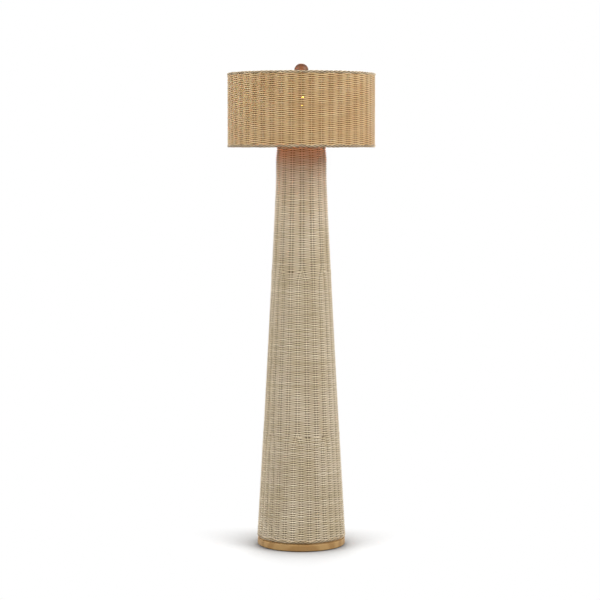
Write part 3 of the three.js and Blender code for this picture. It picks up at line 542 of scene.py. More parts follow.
def new_mesh(name, points, faces):
    mesh = bpy.data.meshes.new(name)
    mesh.from_pydata(points, [], faces)
    return mesh


def new_object(name, data):
    item = bpy.data.objects.new(name, data)
    bpy.context.scene.collection.objects.link(item)
    return item


def add_piece(name, points, faces, node, material=None, crease=None, **shares):
    """A smooth mesh that stands for a node of the solid model and rides on its body.

    The shares are numbers at each point that its material reads: tone, and rise, which sets how much
    painted shade a point takes"""
    mesh = new_mesh(name, points, faces)
    mesh.shade_smooth()
    if crease is not None:
        mesh.set_sharp_from_angle(angle=crease)
    for label, values in shares.items():
        attribute = mesh.attributes.new(label, "FLOAT", "POINT")
        attribute.data.foreach_set("value", np.ascontiguousarray(values, np.float32).ravel())
    mesh.materials.append(material or finishes[SLOTS[node]])
    piece = new_object(name, mesh)
    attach(piece, body_of(frame["nodes"][node])[0])
    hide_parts(node)
    return piece


def add_part(node, parts):
    """One piece made of several meshes, each of points and faces, for a node"""
    points, faces = [], []
    for part_points, part_faces in parts:
        faces += [[corner + len(points) for corner in face] for face in part_faces]
        points += [list(point) for point in part_points]
    add_piece(f"{node}_fitted", points, faces, node, crease=CREASE)


def moved_aside(part, distance):
    points, faces = part
    return [(point[0] + distance, point[1], point[2]) for point in points], faces


def lying(part, height):
    """A mesh made about Z, laid so that its top points to the front, at a height"""
    points, faces = part
    return [(point[0], -point[2], point[1] + height) for point in points], faces


def ring_quads(rings, sides, closed):
    """Quads that join each ring of points to the next one"""
    steps = rings if closed else rings - 1
    ring, side = np.meshgrid(np.arange(steps), np.arange(sides), indexing="ij")
    after, along = (ring + 1) % rings, (side + 1) % sides
    corners = (ring * sides + side, after * sides + side, after * sides + along, ring * sides + along)
    return np.stack(corners, axis=-1).reshape(-1, 4)


def joined_tubes(tubes, closed=False):
    """Points and faces of several tubes. Each is an array of rings, with ends capped unless it is closed"""
    points, faces, start = [], [], 0
    for tube in tubes:
        rings, sides, _ = tube.shape
        points.append(tube.reshape(-1, 3))
        faces.extend((ring_quads(rings, sides, closed) + start).tolist())
        if not closed:
            faces.append([start + side for side in range(sides)][::-1])
            faces.append([start + (rings - 1) * sides + side for side in range(sides)])
        start += rings * sides
    return np.concatenate(points).tolist(), faces


def polar(radius, angle, height):
    parts = np.broadcast_arrays(radius * np.cos(angle), radius * np.sin(angle), height)
    return np.stack(parts, axis=-1)


def circle(segments):
    return np.arange(segments) / segments * 2 * np.pi


def swept(path, diameter, closed=False, sides=STAKE_SIDES):
    """Rings of a round rod along a path of points. A closed path runs level, so that its rings meet"""
    ahead = np.roll(path, -1, axis=0) - np.roll(path, 1, axis=0) if closed else np.gradient(path, axis=0)
    ahead /= np.linalg.norm(ahead, axis=1, keepdims=True)
    side = np.empty_like(ahead)
    if closed:
        side[:] = (0, 0, 1)
    else:
        side[0] = np.cross(ahead[0], (0.3, 0.5, 0.8))  # a direction that no path starts in
        for index in range(1, len(path)):
            side[index] = side[index - 1] - ahead[index] * np.dot(side[index - 1], ahead[index])
    side -= ahead * np.sum(side * ahead, axis=1, keepdims=True)
    side /= np.linalg.norm(side, axis=1, keepdims=True)
    across = np.cross(ahead, side)
    turn = circle(sides)
    spokes = side[:, None] * np.cos(turn)[:, None] + across[:, None] * np.sin(turn)[:, None]
    return path[:, None] + spokes * diameter / 2


def smooth_path(points, steps=8):
    """A curve that passes through each of the points"""
    places = np.array([points[0], *points, points[-1]], float)
    share = (np.arange(steps) / steps)[:, None]
    runs = []
    for before, start, end, after in zip(places, places[1:], places[2:], places[3:]):
        bend = 2 * before - 5 * start + 4 * end - after
        turn = 3 * start - before - 3 * end + after
        runs.append(start + (share * (end - before) + share**2 * bend + share**3 * turn) / 2)
    return np.concatenate([*runs, places[-1:]])


def turned(profile, segments=ROUND_SEGMENTS):
    """Points and faces of a solid turned about Z from (radius, height) pairs.

    The profile starts and ends on the axis, or closes on itself"""
    open_ended = profile[0][0] == 0
    inner = profile[1:-1] if open_ended else profile
    turn = circle(segments)
    rings = np.array([polar(radius, turn, height) for radius, height in inner])
    faces = ring_quads(len(inner), segments, not open_ended).tolist()
    points = rings.reshape(-1, 3).tolist()
    if open_ended:
        for ring, (_, height) in ((0, profile[0]), (len(inner) - 1, profile[-1])):
            points.append([0, 0, height])
            for side in range(segments):
                pair = [ring * segments + side, ring * segments + (side + 1) % segments]
                faces.append([*(pair if ring else pair[::-1]), len(points) - 1])
    return points, faces


def rounded(corners, edge=EDGE, steps=4):
    """The profile with each corner rounded. Corners on the axis stay as they are"""
    count = len(corners)
    on_axis = corners[0][0] == 0
    result = []
    for index, corner in enumerate(corners):
        if on_axis and index in (0, count - 1):
            result.append(corner)
            continue
        here = Vector(corner)
        back = Vector(corners[index - 1]) - here
        ahead = Vector(corners[(index + 1) % count]) - here
        cut = min(edge, 0.45 * back.length, 0.45 * ahead.length)
        start, end = here + back.normalized() * cut, here + ahead.normalized() * cut
        for step in range(steps + 1):
            share = step / steps
            point = start * (1 - share) ** 2 + here * 2 * share * (1 - share) + end * share**2
            result.append((point.x, point.y))
    return result


def disc(radius, low, high, hole=0.0, edge=EDGE, segments=ROUND_SEGMENTS):
    """A disc or ring with its edges rounded"""
    return turned(rounded([(hole, low), (radius, low), (radius, high), (hole, high)], edge), segments)


def add_disc(node, hole=0.0, edge=EDGE, segments=WIDE_SEGMENTS):
    """A disc or ring of the size of its node"""
    low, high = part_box(node)
    add_part(node, [disc(high.x, low.z, high.z, hole, edge, segments)])


def threaded(radius, low, high, pitch, depth):
    """A rod with a rounded thread that winds up it, and fades at both ends"""
    rings = math.ceil((high - low) / pitch * RINGS_IN_PITCH)
    heights = np.linspace(low, high, rings)[:, None]
    turn = circle(ROUND_SEGMENTS)
    wave = (1 + np.cos(2 * np.pi * (heights - low) / pitch - turn)) / 2
    fade = np.clip(np.minimum(heights - low, high - heights) / pitch, 0, 1)
    return joined_tubes([polar(radius - depth * (1 - wave * fade), turn, heights)])


# Weave


def weaver_section():
    """The outline of a flat strand with full shoulders: how far out and up each point lies"""
    turn = (np.arange(WEAVER_SIDES) + 0.5) / WEAVER_SIDES * 2 * np.pi
    waves = (np.cos(turn), np.sin(turn))
    return tuple(np.sign(wave) * np.abs(wave) ** WEAVER_SQUARE_POWER for wave in waves)


def oval_tube(radius, angle, height, thick, tall):
    """Rings round a path given by radius, angle and height, thick across the wall and tall along Z"""
    out, up = weaver_section()
    return polar(
        radius[..., None] + thick / 2 * out / out.max(),
        angle[..., None],
        height[..., None] + tall / 2 * up / up.max(),
    )


def body_radius(height):
    """The outermost radius of the body at a height above the floor"""
    neck_bottom = body_top - NECK_HEIGHT
    below = np.maximum(0, (neck_bottom - height) / (neck_bottom - body_bottom))
    above = np.clip((height - body_top + SHOULDER_HEIGHT) / SHOULDER_HEIGHT, 0, 1)
    taper = (BODY_FOOT_RADIUS - BODY_NECK_RADIUS) * below**TAPER_POWER
    return BODY_NECK_RADIUS + taper - SHOULDER_DRAW * above**SHOULDER_POWER


def share_above(split, height):
    """0 below the run of a split, 1 above it, and a share within it"""
    return np.clip((height - plate_top - split) / SPLIT_RUN + 0.5, 0, 1)


def stake_shares(height):
    """Where the stakes of a sector stand, for each height"""
    lower = share_above(LOWER_SPLIT, height)[..., None]
    upper = share_above(UPPER_SPLIT, height)[..., None]
    middle = np.array(FOOT_STAKE_SHARES) * (1 - lower) + np.array(MIDDLE_STAKE_SHARES) * lower
    return middle * (1 - upper) + np.array(TOP_STAKE_SHARES) * upper


def share_angle(share):
    """The angle of a place given in sectors from the front"""
    return (share + PATTERN_TURN_SHARE) / SECTORS * 2 * np.pi + FRONT


def ripple(angle, height):
    """How far a row strays up or down, so that no row runs quite level or like the next"""
    long = np.sin(2 * angle + height * 23) * np.sin(height * 9 + 1.3)
    short = np.sin(5 * angle - height * 41 + 2)
    return LONG_RIPPLE * long + SHORT_RIPPLE * short


def dive(share, power):
    """How far out a weaver stands between two stakes: 1 in front of the first, and -1 behind the next"""
    wave = np.cos(np.pi * np.asarray(share))
    return np.sign(wave) * np.abs(wave) ** power


def row_tones(angle, count):
    """A tone from 0 to 1 for each row, which drifts a little along the row"""
    own = random.uniform(0, 1, (count, 1))
    drift = TONE_DRIFT * np.sin(2 * angle + random.uniform(0, 2 * np.pi, (count, 1)))
    return np.clip(own + drift + TONE_FLICKER * np.sin(7 * angle + 9 * own), 0, 1)


def grouped_stakes(heights, groups):
    """The middle of each group of stakes, and half of the angle from its first stake to its last"""
    shares = stake_shares(heights)
    middles, halves = [], []
    for sector in range(SECTORS):
        for first, last in groups:
            middles.append(share_angle((shares[:, first] + shares[:, last]) / 2 + sector))
            halves.append((shares[:, last] - shares[:, first]) / SECTORS * np.pi)
    return np.stack(middles, axis=1), np.stack(halves, axis=1)


def row_waves(heights, groups, first_sign):
    """For each row, the angles of its points and how far out they stand, from -1 to 1"""
    middle, half = grouped_stakes(heights, groups)
    hug = HUG / body_radius(heights)[:, None]
    starts = middle + half + hug
    next_middle = np.roll(middle, -1, axis=1)
    next_middle[:, -1] += 2 * np.pi
    ends = next_middle - np.roll(half, -1, axis=1) - hug
    step = np.array([*WAVE_SHARES, 1])
    angle = starts[..., None] + (ends - starts)[..., None] * step
    rows, count = middle.shape
    signs = (-1.0) ** (np.arange(rows)[:, None] + np.arange(count) + first_sign)
    wave = signs[..., None] * dive(step, BODY_DIVE_POWER)
    return angle.reshape(rows, -1), wave.reshape(rows, -1)


def woven_rows(heights, groups, first_sign, pitch):
    """Closed rows of weavers that pass in front of one group of stakes and behind the next"""
    angle, wave = row_waves(heights, groups, first_sign)
    height = heights[:, None] + ripple(angle, heights[:, None])
    reed = BODY_REED_SHARE * body_wall
    swing = (body_wall - reed) / 2 * random.uniform(LEAST_SWING_SHARE, 1, (len(heights), 1))
    radius = body_radius(height) - body_wall / 2 + swing * wave
    squeeze = random.uniform(1 - SQUEEZE_SHARE, 1 + SQUEEZE_SHARE, (len(heights), 1, 1))
    tubes = oval_tube(radius, angle, height, reed, pitch * (squeeze + ROW_OVERLAP_SHARE))
    # The last value is how far out each point stands; the material paints shade where a weaver lies back
    # behind a stake
    return tubes, row_tones(angle, len(heights)), (1 + wave) / 2


def over_sides(values, sides=WEAVER_SIDES):
    """The value of each ring of a tube, for every point of that ring"""
    return np.repeat(np.asarray(values).ravel(), sides)


def add_weavers(name, node, tubes, closed, tone, rise):
    points, faces = joined_tubes(tubes, closed)
    add_piece(name, points, faces, node, tone=over_sides(tone), rise=over_sides(rise))


def add_body_weave():
    low, high = node_levels("body_weave")
    rows = round((high - low) / BODY_PITCH)
    pitch = (high - low) / rows
    heights = low + pitch * (np.arange(-1, rows + 1) + 0.5)
    splits = [plate_top + split + SPLIT_LEAD for split in (LOWER_SPLIT, UPPER_SPLIT)]
    levels_of_tiers = np.split(heights, np.searchsorted(heights, splits))
    for (tier, groups, parts), levels in zip(TIERS, levels_of_tiers):
        first = 0
        for part, share in enumerate(np.array_split(levels, parts)):
            tubes, tone, rise = woven_rows(share, groups, first, pitch)
            add_weavers(f"body_weave_{tier}_{part + 1}", "body_weave", tubes, True, tone, rise)
            first += len(share)


def round_stake(radius, angle, heights, diameter):
    """Rings of an upright rod"""
    turn = circle(STAKE_SIDES)
    out = radius[:, None] + diameter / 2 * np.cos(turn)
    aside = diameter / 2 * np.sin(turn) / radius[:, None]
    return polar(out, angle[:, None] + aside, heights[:, None])


def add_stakes(name, node, tubes, rise):
    """Stakes of one tone and one level of painted shade, which stand between the weavers before and behind
    them
    """
    points, faces = joined_tubes(tubes)
    count = len(points)
    add_piece(name, points, faces, node, tone=np.full(count, STAKE_TONE), rise=np.full(count, rise))


def add_body_stakes():
    """Every upright stake. Two of the four in a sector end where they join their neighbour"""
    low, high = node_levels("body_weave")
    lower_end, upper_end = (plate_top + split + SPLIT_RUN / 2 for split in (LOWER_SPLIT, UPPER_SPLIT))
    tubes = []
    for sector in range(SECTORS):
        for stake, top in enumerate((high, lower_end, upper_end, high)):
            heights = np.linspace(low, top, STAKE_RINGS)
            angle = share_angle(stake_shares(heights)[:, stake] + sector)
            radius = body_radius(heights) - body_wall / 2
            tubes.append(round_stake(radius, angle, heights, BODY_STAKE))
    add_stakes("body_stakes", "body_weave", tubes, BODY_STAKE_RISE)


def add_border(node, radius, wide, strand):
    """A closed ring of strands laid round each other, as the bent ends of the stakes are"""
    low, high = node_levels(node)
    middle, tall = (low + high) / 2, high - low
    turns = round(2 * math.pi * radius / ROPE_LAY)
    angle = circle(turns * STEPS_IN_LAY)
    tubes, painted_groove_shade = [], []
    for number in range(ROPE_STRANDS):
        lay = turns * angle + number / ROPE_STRANDS * 2 * np.pi
        out = (wide - strand) / 2 * np.cos(lay) + ROPE_STRAY * np.sin(3 * angle + number)
        up = (tall - strand) / 2 * np.sin(lay) + ROPE_STRAY * np.sin(5 * angle + 2 * number)
        tube = swept(polar(radius + out, angle, middle + up), strand, True)
        # Painted shade: points nearer the middle of the rope, in the grooves between strands, get a lower
        # rise and so a darker tone
        across = np.hypot(tube[..., 0], tube[..., 1]) - radius
        reach = 2 * np.hypot(across / wide, (tube[..., 2] - middle) / tall)
        tubes.append(tube)
        painted_groove_shade.append(np.clip((reach - GROOVE_SHARE) / (1 - GROOVE_SHARE), 0, 1))
    points, faces = joined_tubes(tubes, True)
    tones = [np.full(len(angle), tone) for tone in random.uniform(0.1, 0.9, ROPE_STRANDS)]
    tone = over_sides(tones, STAKE_SIDES)
    add_piece(f"{node}_rope", points, faces, node, finishes["pale_rattan"], tone=tone, rise=painted_groove_shade)


def add_body():
    add_body_weave()
    add_body_stakes()
    for node in ("body_foot_border", "body_top_border"):
        middle = sum(node_levels(node)) / 2
        add_border(node, float(body_radius(middle)) - body_wall / 2, body_wall, BODY_STAKE)


def glint_share(angle, height):
    """How much of a glint a place on the shade has, from 0 to 1"""
    total = np.zeros_like(height)
    for glint_angle, glint_height in GLINTS:
        turn = (angle - glint_angle + np.pi) % (2 * np.pi) - np.pi
        aside = turn * shade_middle / GLINT_WIDTH
        total += np.exp(-(aside**2) - ((height - glint_height) / GLINT_HEIGHT) ** 2)
    return total


def shade_tones(stake):
    """A tone that changes along the weaver in waves of several lengths"""
    short, middle, long = (np.sin(stake * rate) for rate in SHADE_TONE_RATES)
    return 0.5 + 0.3 * short * middle + 0.2 * long


def shade_spiral(first_row, last_row, low, pitch):
    """One weaver that winds round and round. The stakes are odd in number, so its rows alternate"""
    gaps = np.arange(first_row * SHADE_STAKES, last_row * SHADE_STAKES + 1)
    past_end = 1 - len(WAVE_SHARES)  # of the last gap only the first point is kept, so that lengths meet
    stake = (gaps[:, None] + np.array(WAVE_SHARES)).ravel()[:past_end]
    wave = ((-1.0) ** gaps[:, None] * dive(WAVE_SHARES, SHADE_DIVE_POWER)).ravel()[:past_end]
    angle = stake / SHADE_STAKES * 2 * np.pi + FRONT
    height = low + pitch * (stake / SHADE_STAKES + 0.5) + ripple(angle, low + pitch * stake / SHADE_STAKES)
    reed = SHADE_REED_SHARE * shade_wall
    radius = shade_middle + (shade_wall - reed) / 2 * wave
    squeeze = 1 + ROW_OVERLAP_SHARE + SQUEEZE_SHARE * np.sin(stake * 0.37) * np.sin(stake * 0.061 + 1)
    squeeze -= GLINT_SHARE * glint_share(angle, height)
    tube = oval_tube(radius, angle, height, reed, pitch * squeeze[:, None])
    # The last value is how far out each point stands; the material paints shade where the weaver lies back
    # behind a stake
    return tube, shade_tones(stake), (1 + wave) / 2


def add_shade_stakes(low, high):
    heights = np.array([low, (low + high) / 2, high])
    middle = np.full(len(heights), shade_middle)
    tubes = []
    for angle in circle(SHADE_STAKES) + FRONT:
        tubes.append(round_stake(middle, np.full(len(heights), angle), heights, SHADE_STAKE))
    add_stakes("shade_stakes", "shade_weave", tubes, SHADE_STAKE_RISE)


def add_shade():
    low, high = node_levels("shade_weave")
    rows = round((high - low) / SHADE_PITCH)
    pitch = (high - low) / rows
    ends = [-1, *(rows * part // SHADE_PARTS for part in range(1, SHADE_PARTS + 1))]
    for part, (first, last) in enumerate(zip(ends, ends[1:])):
        tube, tone, rise = shade_spiral(first, last, low, pitch)
        add_weavers(f"shade_weave_{part + 1}", "shade_weave", [tube], False, tone, rise)
    add_shade_stakes(low, high)
    for node in ("shade_bottom_border", "shade_top_border"):
        add_border(node, node_radius(node) - SHADE_BORDER_WIDTH / 2, SHADE_BORDER_WIDTH, SHADE_STAKE)


# Fittings


def wire_ring(node):
    """The wire ring that stiffens an end of the shade"""
    radius = node_radius("shade_bottom_ring") - SHADE_WIRE / 2
    path = polar(radius, circle(WIDE_SEGMENTS), sum(node_levels(node)) / 2)
    return joined_tubes([swept(path, SHADE_WIRE, True, WIRE_SIDES)], True)


def add_spider():
    radius = node_radius("shade_bottom_ring") - SHADE_WIRE / 2
    low, high = node_levels("shade_spider")
    level = high - SHADE_WIRE / 2
    top = low + SPIDER_HUB_THICKNESS
    parts = [wire_ring("shade_top_border"), disc(SPIDER_HUB_RADIUS, low, top, SPIDER_HUB_HOLE)]
    inner = SPIDER_HUB_RADIUS - SHADE_WIRE / 2
    for arm in range(SPIDER_ARMS):
        turn = arm / SPIDER_ARMS * 2 * math.pi + math.pi / 2
        stops = ((inner, top), (inner + 4 * SHADE_WIRE, top + SHADE_WIRE / 4), (radius, level))
        path = smooth_path([polar(out, turn, height) for out, height in stops], steps=12)
        parts.append(joined_tubes([swept(path, SHADE_WIRE, sides=WIRE_SIDES)]))
    add_part("shade_spider", parts)
    add_part("shade_bottom_ring", [wire_ring("shade_bottom_border")])


def arch(width, height, steps=12):
    """The outline of a slot with a round top, across and up"""
    turn = np.linspace(0, math.pi, steps + 1)
    radius = width / 2
    curve = [(radius * math.cos(angle), height - radius + radius * math.sin(angle)) for angle in turn]
    return [(radius, 0), *curve, (-radius, 0)]


def arched_bar(width, height, start, end, bottom):
    """A bar of arched section that runs from front to rear"""
    outline = arch(width, height)
    rings = np.array([[(x, y, bottom + z) for x, z in outline] for y in (start, end)])
    return joined_tubes([rings])


def cut_by(piece, cutters):
    """Takes the cutters' meshes away from the piece"""
    for points, faces in cutters:
        cutter = new_object("cutter", new_mesh("cutter", points, faces))
        modifier = piece.modifiers.new("cut", "BOOLEAN")
        modifier.operation = "DIFFERENCE"
        modifier.object = cutter
        result = bpy.data.meshes.new_from_object(piece.evaluated_get(bpy.context.evaluated_depsgraph_get()))
        piece.modifiers.clear()
        piece.data = result
        bpy.data.objects.remove(cutter)


def plate_profile(radius, low, high):
    """The plate from its pipe hole round the recess, the rounded edge with its step, and the top"""
    step_radius, step = radius - PLATE_STEP_DEPTH, high - PLATE_STEP_HEIGHT
    edge = [(0, low), (radius, low), (radius, step), (step_radius, step), (step_radius, high), (0, high)]
    outer = rounded(edge, PLATE_ROUND, steps=8)[1:-1]
    recess = low + RECESS_DEPTH
    inner = [(PIPE_HOLE, recess), (RECESS_RADIUS, recess), (RECESS_RADIUS, low)]
    return [*inner, *outer, (PIPE_HOLE, high)]


def add_base():
    """The felt pad, and the plate with a channel for the cord and a seat for its grommet"""
    add_disc("felt_pad")
    radius, low = node_radius("base_plate"), node_low("base_plate")
    points, faces = turned(plate_profile(radius, low, plate_top), WIDE_SEGMENTS)
    plate = add_piece("base_plate_turned", points, faces, "base_plate")
    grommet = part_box("cord_grommet")
    width = grommet[1].x - grommet[0].x
    middle = grommet[0].z + width / 2
    channel_height = middle + CHANNEL_WIDTH / 2 - low + OVERRUN
    seat_width = width + 2 * SEAT_GAP
    seat_height = width + SEAT_GAP + OVERRUN
    seat_start, end, bottom = grommet[0].y - SEAT_GAP, radius + OVERRUN, low - OVERRUN
    cutters = (
        arched_bar(CHANNEL_WIDTH, channel_height, 0, end, bottom),
        arched_bar(seat_width, seat_height, seat_start, end, bottom),
    )
    cut_by(plate, cutters)
    plate.data.shade_smooth()
    plate.data.set_sharp_from_angle(angle=CREASE)


def add_grommet():
    """A rubber bush with an arched outside and a flared round bore"""
    low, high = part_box("cord_grommet")
    width = high.x - low.x
    middle = low.z + width / 2
    outline = np.array([(x, low.z + z) for x, z in arch(width, width, steps=40)])
    outside = outline - (0, middle)
    turn = np.arctan2(outside[:, 1], outside[:, 0])
    bore = np.stack([np.cos(turn), np.sin(turn)], axis=1)
    stops = (
        (low.y, bore, CORD_HOLE_RADIUS + EDGE),
        (low.y, outside, 1 - EDGE / width),
        (low.y + EDGE, outside, 1),
        (high.y - EDGE, outside, 1),
        (high.y, outside, 1 - 2 * EDGE / width),
        (high.y, bore, CORD_HOLE_RADIUS + 2 * EDGE),
        (high.y - 2 * EDGE, bore, CORD_HOLE_RADIUS),
        (low.y + EDGE, bore, CORD_HOLE_RADIUS),
    )
    rings = np.array([[(x, y, z + middle) for x, z in shape * size] for y, shape, size in stops])
    add_part("cord_grommet", [joined_tubes([rings], True)])


def hex_nut(low, high, across, hole):
    """A hex nut, across its corners along X, with the corners chamfered"""
    turn = circle(ROUND_SEGMENTS)
    flat = across / 2 * math.cos(math.pi / 6)
    hexagon = flat / np.cos(turn % (math.pi / 3) - math.pi / 6)
    levels = (
        (hole, low),
        (flat, low),
        (hexagon, low + EDGE),
        (hexagon, high - EDGE),
        (flat, high),
        (hole, high),
    )
    rings = np.array([polar(radius, turn, height) for radius, height in levels])
    return joined_tubes([rings], True)


def add_cap_and_nut():
    """What closes the body at its top: the cap, a washer and the lock nut"""
    add_disc("body_top_cap", PIPE_HOLE, 2 * EDGE)
    add_disc("lock_washer", PIPE_HOLE, segments=ROUND_SEGMENTS)
    low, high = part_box("lock_nut")
    add_part("lock_nut", [hex_nut(low.z, high.z, high.x - low.x, PIPE_HOLE)])


def saddle_strip(low, high, arm, arm_top):
    """A flat strip bent up at both ends"""
    half, depth = SADDLE_THICKNESS / 2, high.y
    level = low.z + half
    bend = []
    for angle in np.linspace(-math.pi / 2, 0, 8):
        x = arm - SADDLE_BEND * (1 - math.cos(angle))
        bend.append((x, level + SADDLE_BEND * (1 + math.sin(angle))))
    right = [*bend, (arm, arm_top)]
    path = np.array([*((-x, z) for x, z in right[::-1]), *right])
    ahead = np.gradient(path, axis=0)
    across = np.stack([-ahead[:, 1], ahead[:, 0]], axis=1) / np.linalg.norm(ahead, axis=1, keepdims=True)
    section = rounded([(-half, -depth), (half, -depth), (half, depth), (-half, depth)], steps=3)
    rings = []
    for (x, z), (aside, above) in zip(path, across):
        rings.append([(x + aside * up, y, z + above * up) for up, y in section])
    return joined_tubes([np.array(rings)])


def add_saddle():
    """The strip, with a post riveted on each arm"""
    low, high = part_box("harp_saddle")
    arm = high.x - SADDLE_THICKNESS / 2
    arm_top = low.z + SADDLE_ARM_HEIGHT
    post = disc(SADDLE_POST_RADIUS, arm_top - EDGE, high.z, segments=SMALL_SEGMENTS)
    posts = [moved_aside(post, side * arm) for side in (-1, 1)]
    add_part("harp_saddle", [saddle_strip(low, high, arm, arm_top), *posts])


def add_sleeves():
    for side in ("left", "right"):
        node = f"harp_sleeve_{side}"
        low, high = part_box(node)
        radius = (high.x - low.x) / 2
        sleeve = disc(radius, low.z, high.z, radius - SLEEVE_WALL)
        add_part(node, [moved_aside(sleeve, (low.x + high.x) / 2)])


def add_harp():
    """A wire loop that ends in two straight legs, with an eye at its top"""
    low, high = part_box("harp")
    foot_across = node_radius("harp_saddle") - SADDLE_THICKNESS / 2
    half_width = high.x - HARP_WIRE / 2
    eye = high.z - HARP_WIRE / 2
    straight_top = low.z + HARP_STRAIGHT
    feet = [(foot_across, low.z), (foot_across, (low.z + straight_top) / 2), (foot_across, straight_top)]
    rise = eye - straight_top
    loop = [(across * half_width, straight_top + up * rise) for across, up in HARP_OUTLINE_SHARES]
    half = feet + loop
    points = [(-x, 0, z) for x, z in half] + [(0, 0, eye)] + [(x, 0, z) for x, z in half[::-1]]
    wire = joined_tubes([swept(smooth_path(points), HARP_WIRE, sides=WIRE_SIDES)])
    ring = disc(HARP_EYE_RADIUS, eye - HARP_WIRE / 2, eye + HARP_WIRE / 2, HARP_EYE_HOLE, 2 * EDGE)
    add_part("harp", [wire, ring])


def add_stud():
    """A head and shank in the eye of the harp, a flange above it, and a threaded post for the finial"""
    low, high = node_levels("harp_stud")
    head_top = low + STUD_HEAD_THICKNESS
    flange_bottom = node_top("harp") + SEAT_GAP
    flange_top = flange_bottom + STUD_FLANGE_THICKNESS
    profile = [
        (0, low),
        (STUD_HEAD_RADIUS, low),
        (STUD_HEAD_RADIUS, head_top),
        (STUD_SHANK_RADIUS, head_top),
        (STUD_SHANK_RADIUS, flange_bottom),
        (STUD_FLANGE_RADIUS, flange_bottom),
        (STUD_FLANGE_RADIUS, flange_top),
        (0, flange_top),
    ]
    post = threaded(STUD_POST_RADIUS, flange_top - EDGE, high, STUD_PITCH, STUD_PITCH * THREAD_SHARE)
    add_part("harp_stud", [turned(rounded(profile)), post])


def add_socket_cap():
    """A bell that widens from the neck on the pipe up to the shell"""
    low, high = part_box("socket_cap")
    radius = high.x
    shoulder = (low.z + high.z) / 2
    profile = [
        (PIPE_HOLE, low.z),
        (CAP_NECK_RADIUS, low.z),
        (CAP_NECK_RADIUS + SOCKET_WALL, low.z + SOCKET_LIP),
        (radius, shoulder),
        (radius, high.z),
        (radius - CAP_LEDGE, high.z),
        (radius - CAP_LEDGE, shoulder),
        (PIPE_HOLE, low.z + SOCKET_WALL + SOCKET_LIP),
    ]
    add_part("socket_cap", [turned(rounded(profile, 2 * EDGE, steps=6))])


def add_socket_shell():
    """A plain tube with a wider lip at its top"""
    low, high = node_levels("socket_shell")
    lip = node_radius("socket_shell")
    outer, inner = lip - SOCKET_LIP, lip - SOCKET_LIP - SOCKET_WALL
    shell = [
        (inner, low),
        (outer, low),
        (outer, high - 2 * SOCKET_LIP),
        (lip, high - SOCKET_LIP),
        (lip, high),
        (inner, high),
    ]
    add_part("socket_shell", [turned(rounded(shell, 2 * EDGE, steps=6))])


def add_switch():
    """The shaft, and a fluted knob with a domed face"""
    low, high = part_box("switch_shaft")
    level, radius = (low.z + high.z) / 2, (high.z - low.z) / 2
    shaft = disc(radius, -high.y, -low.y, segments=SMALL_SEGMENTS)
    add_part("switch_shaft", [lying(shaft, level)])
    low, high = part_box("switch_knob")
    radius = high.x
    turn = circle(KNOB_FLUTES * STEPS_IN_FLUTE)
    fluted = radius - KNOB_FLUTE_DEPTH * np.sin(KNOB_FLUTES * turn / 2) ** 2
    front, rear = -low.y, -high.y
    levels = (
        (fluted - 2 * KNOB_FLUTE_DEPTH, rear),
        (fluted, rear + EDGE),
        (fluted, front - KNOB_DOME),
        (fluted - KNOB_FLUTE_DEPTH, front - KNOB_DOME / 2),
        (radius * KNOB_SHOULDER_SHARE, front - KNOB_DOME / 8),
        (radius * KNOB_FACE_SHARE, front),
    )
    rings = np.array([polar(size, turn, height) for size, height in levels])
    add_part("switch_knob", [lying(joined_tubes([rings]), level)])


def add_bulb():
    low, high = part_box("bulb_base")
    add_part("bulb_base", [threaded(high.x, low.z, high.z, BULB_PITCH, BULB_THREAD_DEPTH)])
    low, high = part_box("bulb_glass")
    rise, swell = high.z - low.z, high.x - GLASS_NECK_RADIUS
    stops = [(GLASS_NECK_RADIUS + swell * out, low.z + rise * up) for out, up in GLASS_SHARES]
    outline = [tuple(point) for point in smooth_path(stops, steps=6)]
    add_part("bulb_glass", [turned([(0, low.z), *outline, (0, high.z)])])


def add_finial():
    """The wooden ball, and its brass insert with a waisted neck"""
    low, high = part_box("finial_ball")
    radius = high.y
    centre = high.z - radius
    start = math.asin((low.z - centre) / radius)
    angles = [start + (math.pi / 2 - start) * step / FINIAL_STEPS for step in range(FINIAL_STEPS)]
    arc = [(radius * math.cos(angle), centre + radius * math.sin(angle)) for angle in angles]
    add_part("finial_ball", [turned([(0, low.z), *arc, (0, high.z)])])
    low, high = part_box("finial_insert")
    neck_top = node_low("finial_ball") - SEAT_GAP
    waist = high.x * FINIAL_WAIST_SHARE
    stops = [(high.x, low.z), (waist, (low.z + neck_top) / 2), (high.x, neck_top)]
    neck = [tuple(point) for point in smooth_path(stops, steps=6)]
    post = disc(STUD_POST_RADIUS + SOCKET_WALL, neck_top - EDGE, high.z)
    add_part("finial_insert", [turned([(0, low.z), *neck, (0, neck_top)]), post])


# Stage


def seen_share(graph):
    """1 for what the camera sees, directly or in gloss and glass, and 0 for the light on the object"""
    path = graph.add("ShaderNodeLightPath")
    total = path.outputs["Is Camera Ray"]
    for kind in ("Is Glossy Ray", "Is Transmission Ray"):
        total = graph.join("ShaderNodeMath", total, path.outputs[kind], operation="MAXIMUM").outputs[0]
    return total


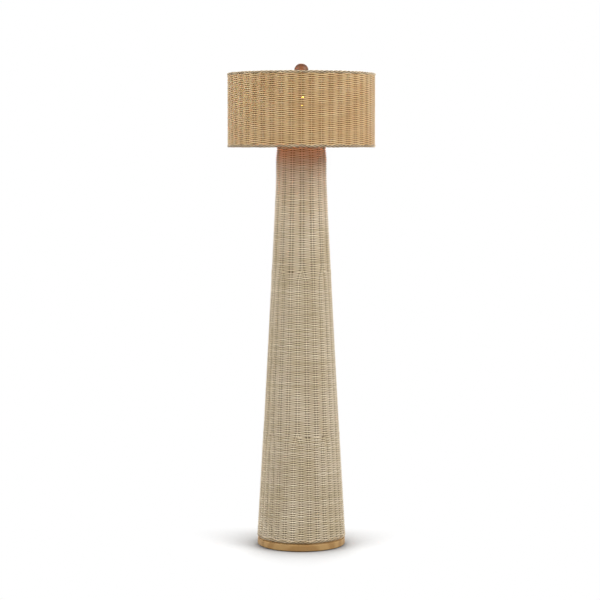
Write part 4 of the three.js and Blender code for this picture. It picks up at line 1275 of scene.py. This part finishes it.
def make_floor(graph):
    """White with a painted shadow close to the object, from ambient occlusion, and plain white to the
    camera further off
    """
    seen = seen_share(graph)
    # Painted shadow: the floor's colour darkens where ambient occlusion finds the object close
    near = graph.add("ShaderNodeAmbientOcclusion", Distance=CONTACT_REACH)
    near.samples = CONTACT_SAMPLES
    shaded = graph.ramp(near.outputs["AO"], [(0.5, PAINTED_CONTACT_SHADOW_GREY), (1, OPEN_GREY)])
    graph.set(Base_Color=graph.mix(seen, (*FLOOR_GREY, 1), shaded))
    graph.set(Roughness=1.0, Specular_IOR_Level=0.0)
    place = graph.add("ShaderNodeTexCoord").outputs["Object"]
    length = graph.join("ShaderNodeVectorMath", place, operation="LENGTH")
    far = graph.spread(length.outputs["Value"], SHADOW_START, SHADOW_END)
    white = graph.join("ShaderNodeMath", far, seen, operation="MULTIPLY")
    glow = graph.add("ShaderNodeEmission", Color=(*WHITE, 1), Strength=1)
    parts = [node.outputs[0] for node in (white, graph.shader, glow)]
    both = graph.join("ShaderNodeMixShader", *parts)
    graph.put(graph.nodes["Material Output"].inputs["Surface"], both.outputs[0])


def add_floor():
    corners = [(x * FLOOR_HALF, y * FLOOR_HALF, 0) for x, y in ((-1, -1), (1, -1), (1, 1), (-1, 1))]
    mesh = new_mesh("floor", corners, [(0, 1, 2, 3)])
    material = bpy.data.materials.new("floor")
    make_floor(Graph(material))
    mesh.materials.append(material)
    new_object("floor", mesh)


def add_world():
    """Plain white to the camera, and a softer light on the object"""
    world = bpy.data.worlds.new("studio")
    bpy.context.scene.world = world
    graph = Graph(world)
    graph.nodes.clear()
    parts = [seen_share(graph)]
    for strength in (WORLD_LIGHT, 1):
        background = graph.add("ShaderNodeBackground", Color=(*WHITE, 1), Strength=strength)
        parts.append(background.outputs[0])
    mixed = graph.join("ShaderNodeMixShader", *parts)
    graph.add("ShaderNodeOutputWorld", Surface=mixed.outputs[0])


def add_lamp(name, place, power):
    light = bpy.data.lights.new(name, "AREA")
    light.shape = "DISK"
    light.size = LAMP_SIZE
    light.energy = power
    lamp = new_object(name, light)
    lamp.location = place
    aim = Vector(LAMP_AIM) - Vector(place)
    lamp.rotation_euler = aim.to_track_quat("-Z", "Y").to_euler()


def add_camera():
    data = bpy.data.cameras.new("camera")
    data.sensor_width = CAMERA_SENSOR_MM
    data.lens = CAMERA_LENS_MM
    camera = new_object("camera", data)
    camera.location = (CAMERA_ASIDE, -CAMERA_DISTANCE, CAMERA_HEIGHT)
    camera.rotation_euler = (math.pi / 2 - CAMERA_TILT, 0, 0)
    bpy.context.scene.camera = camera


add_camera()
dress_nodes()
add_base()
add_grommet()
add_body()
add_cap_and_nut()
add_harp()
add_saddle()
add_sleeves()
add_stud()
add_socket_cap()
add_socket_shell()
add_switch()
add_bulb()
add_shade()
add_spider()
add_finial()
add_floor()
add_world()
for lamp in LAMPS:
    add_lamp(*lamp)
bpy.context.scene.view_settings.view_transform = "Standard"
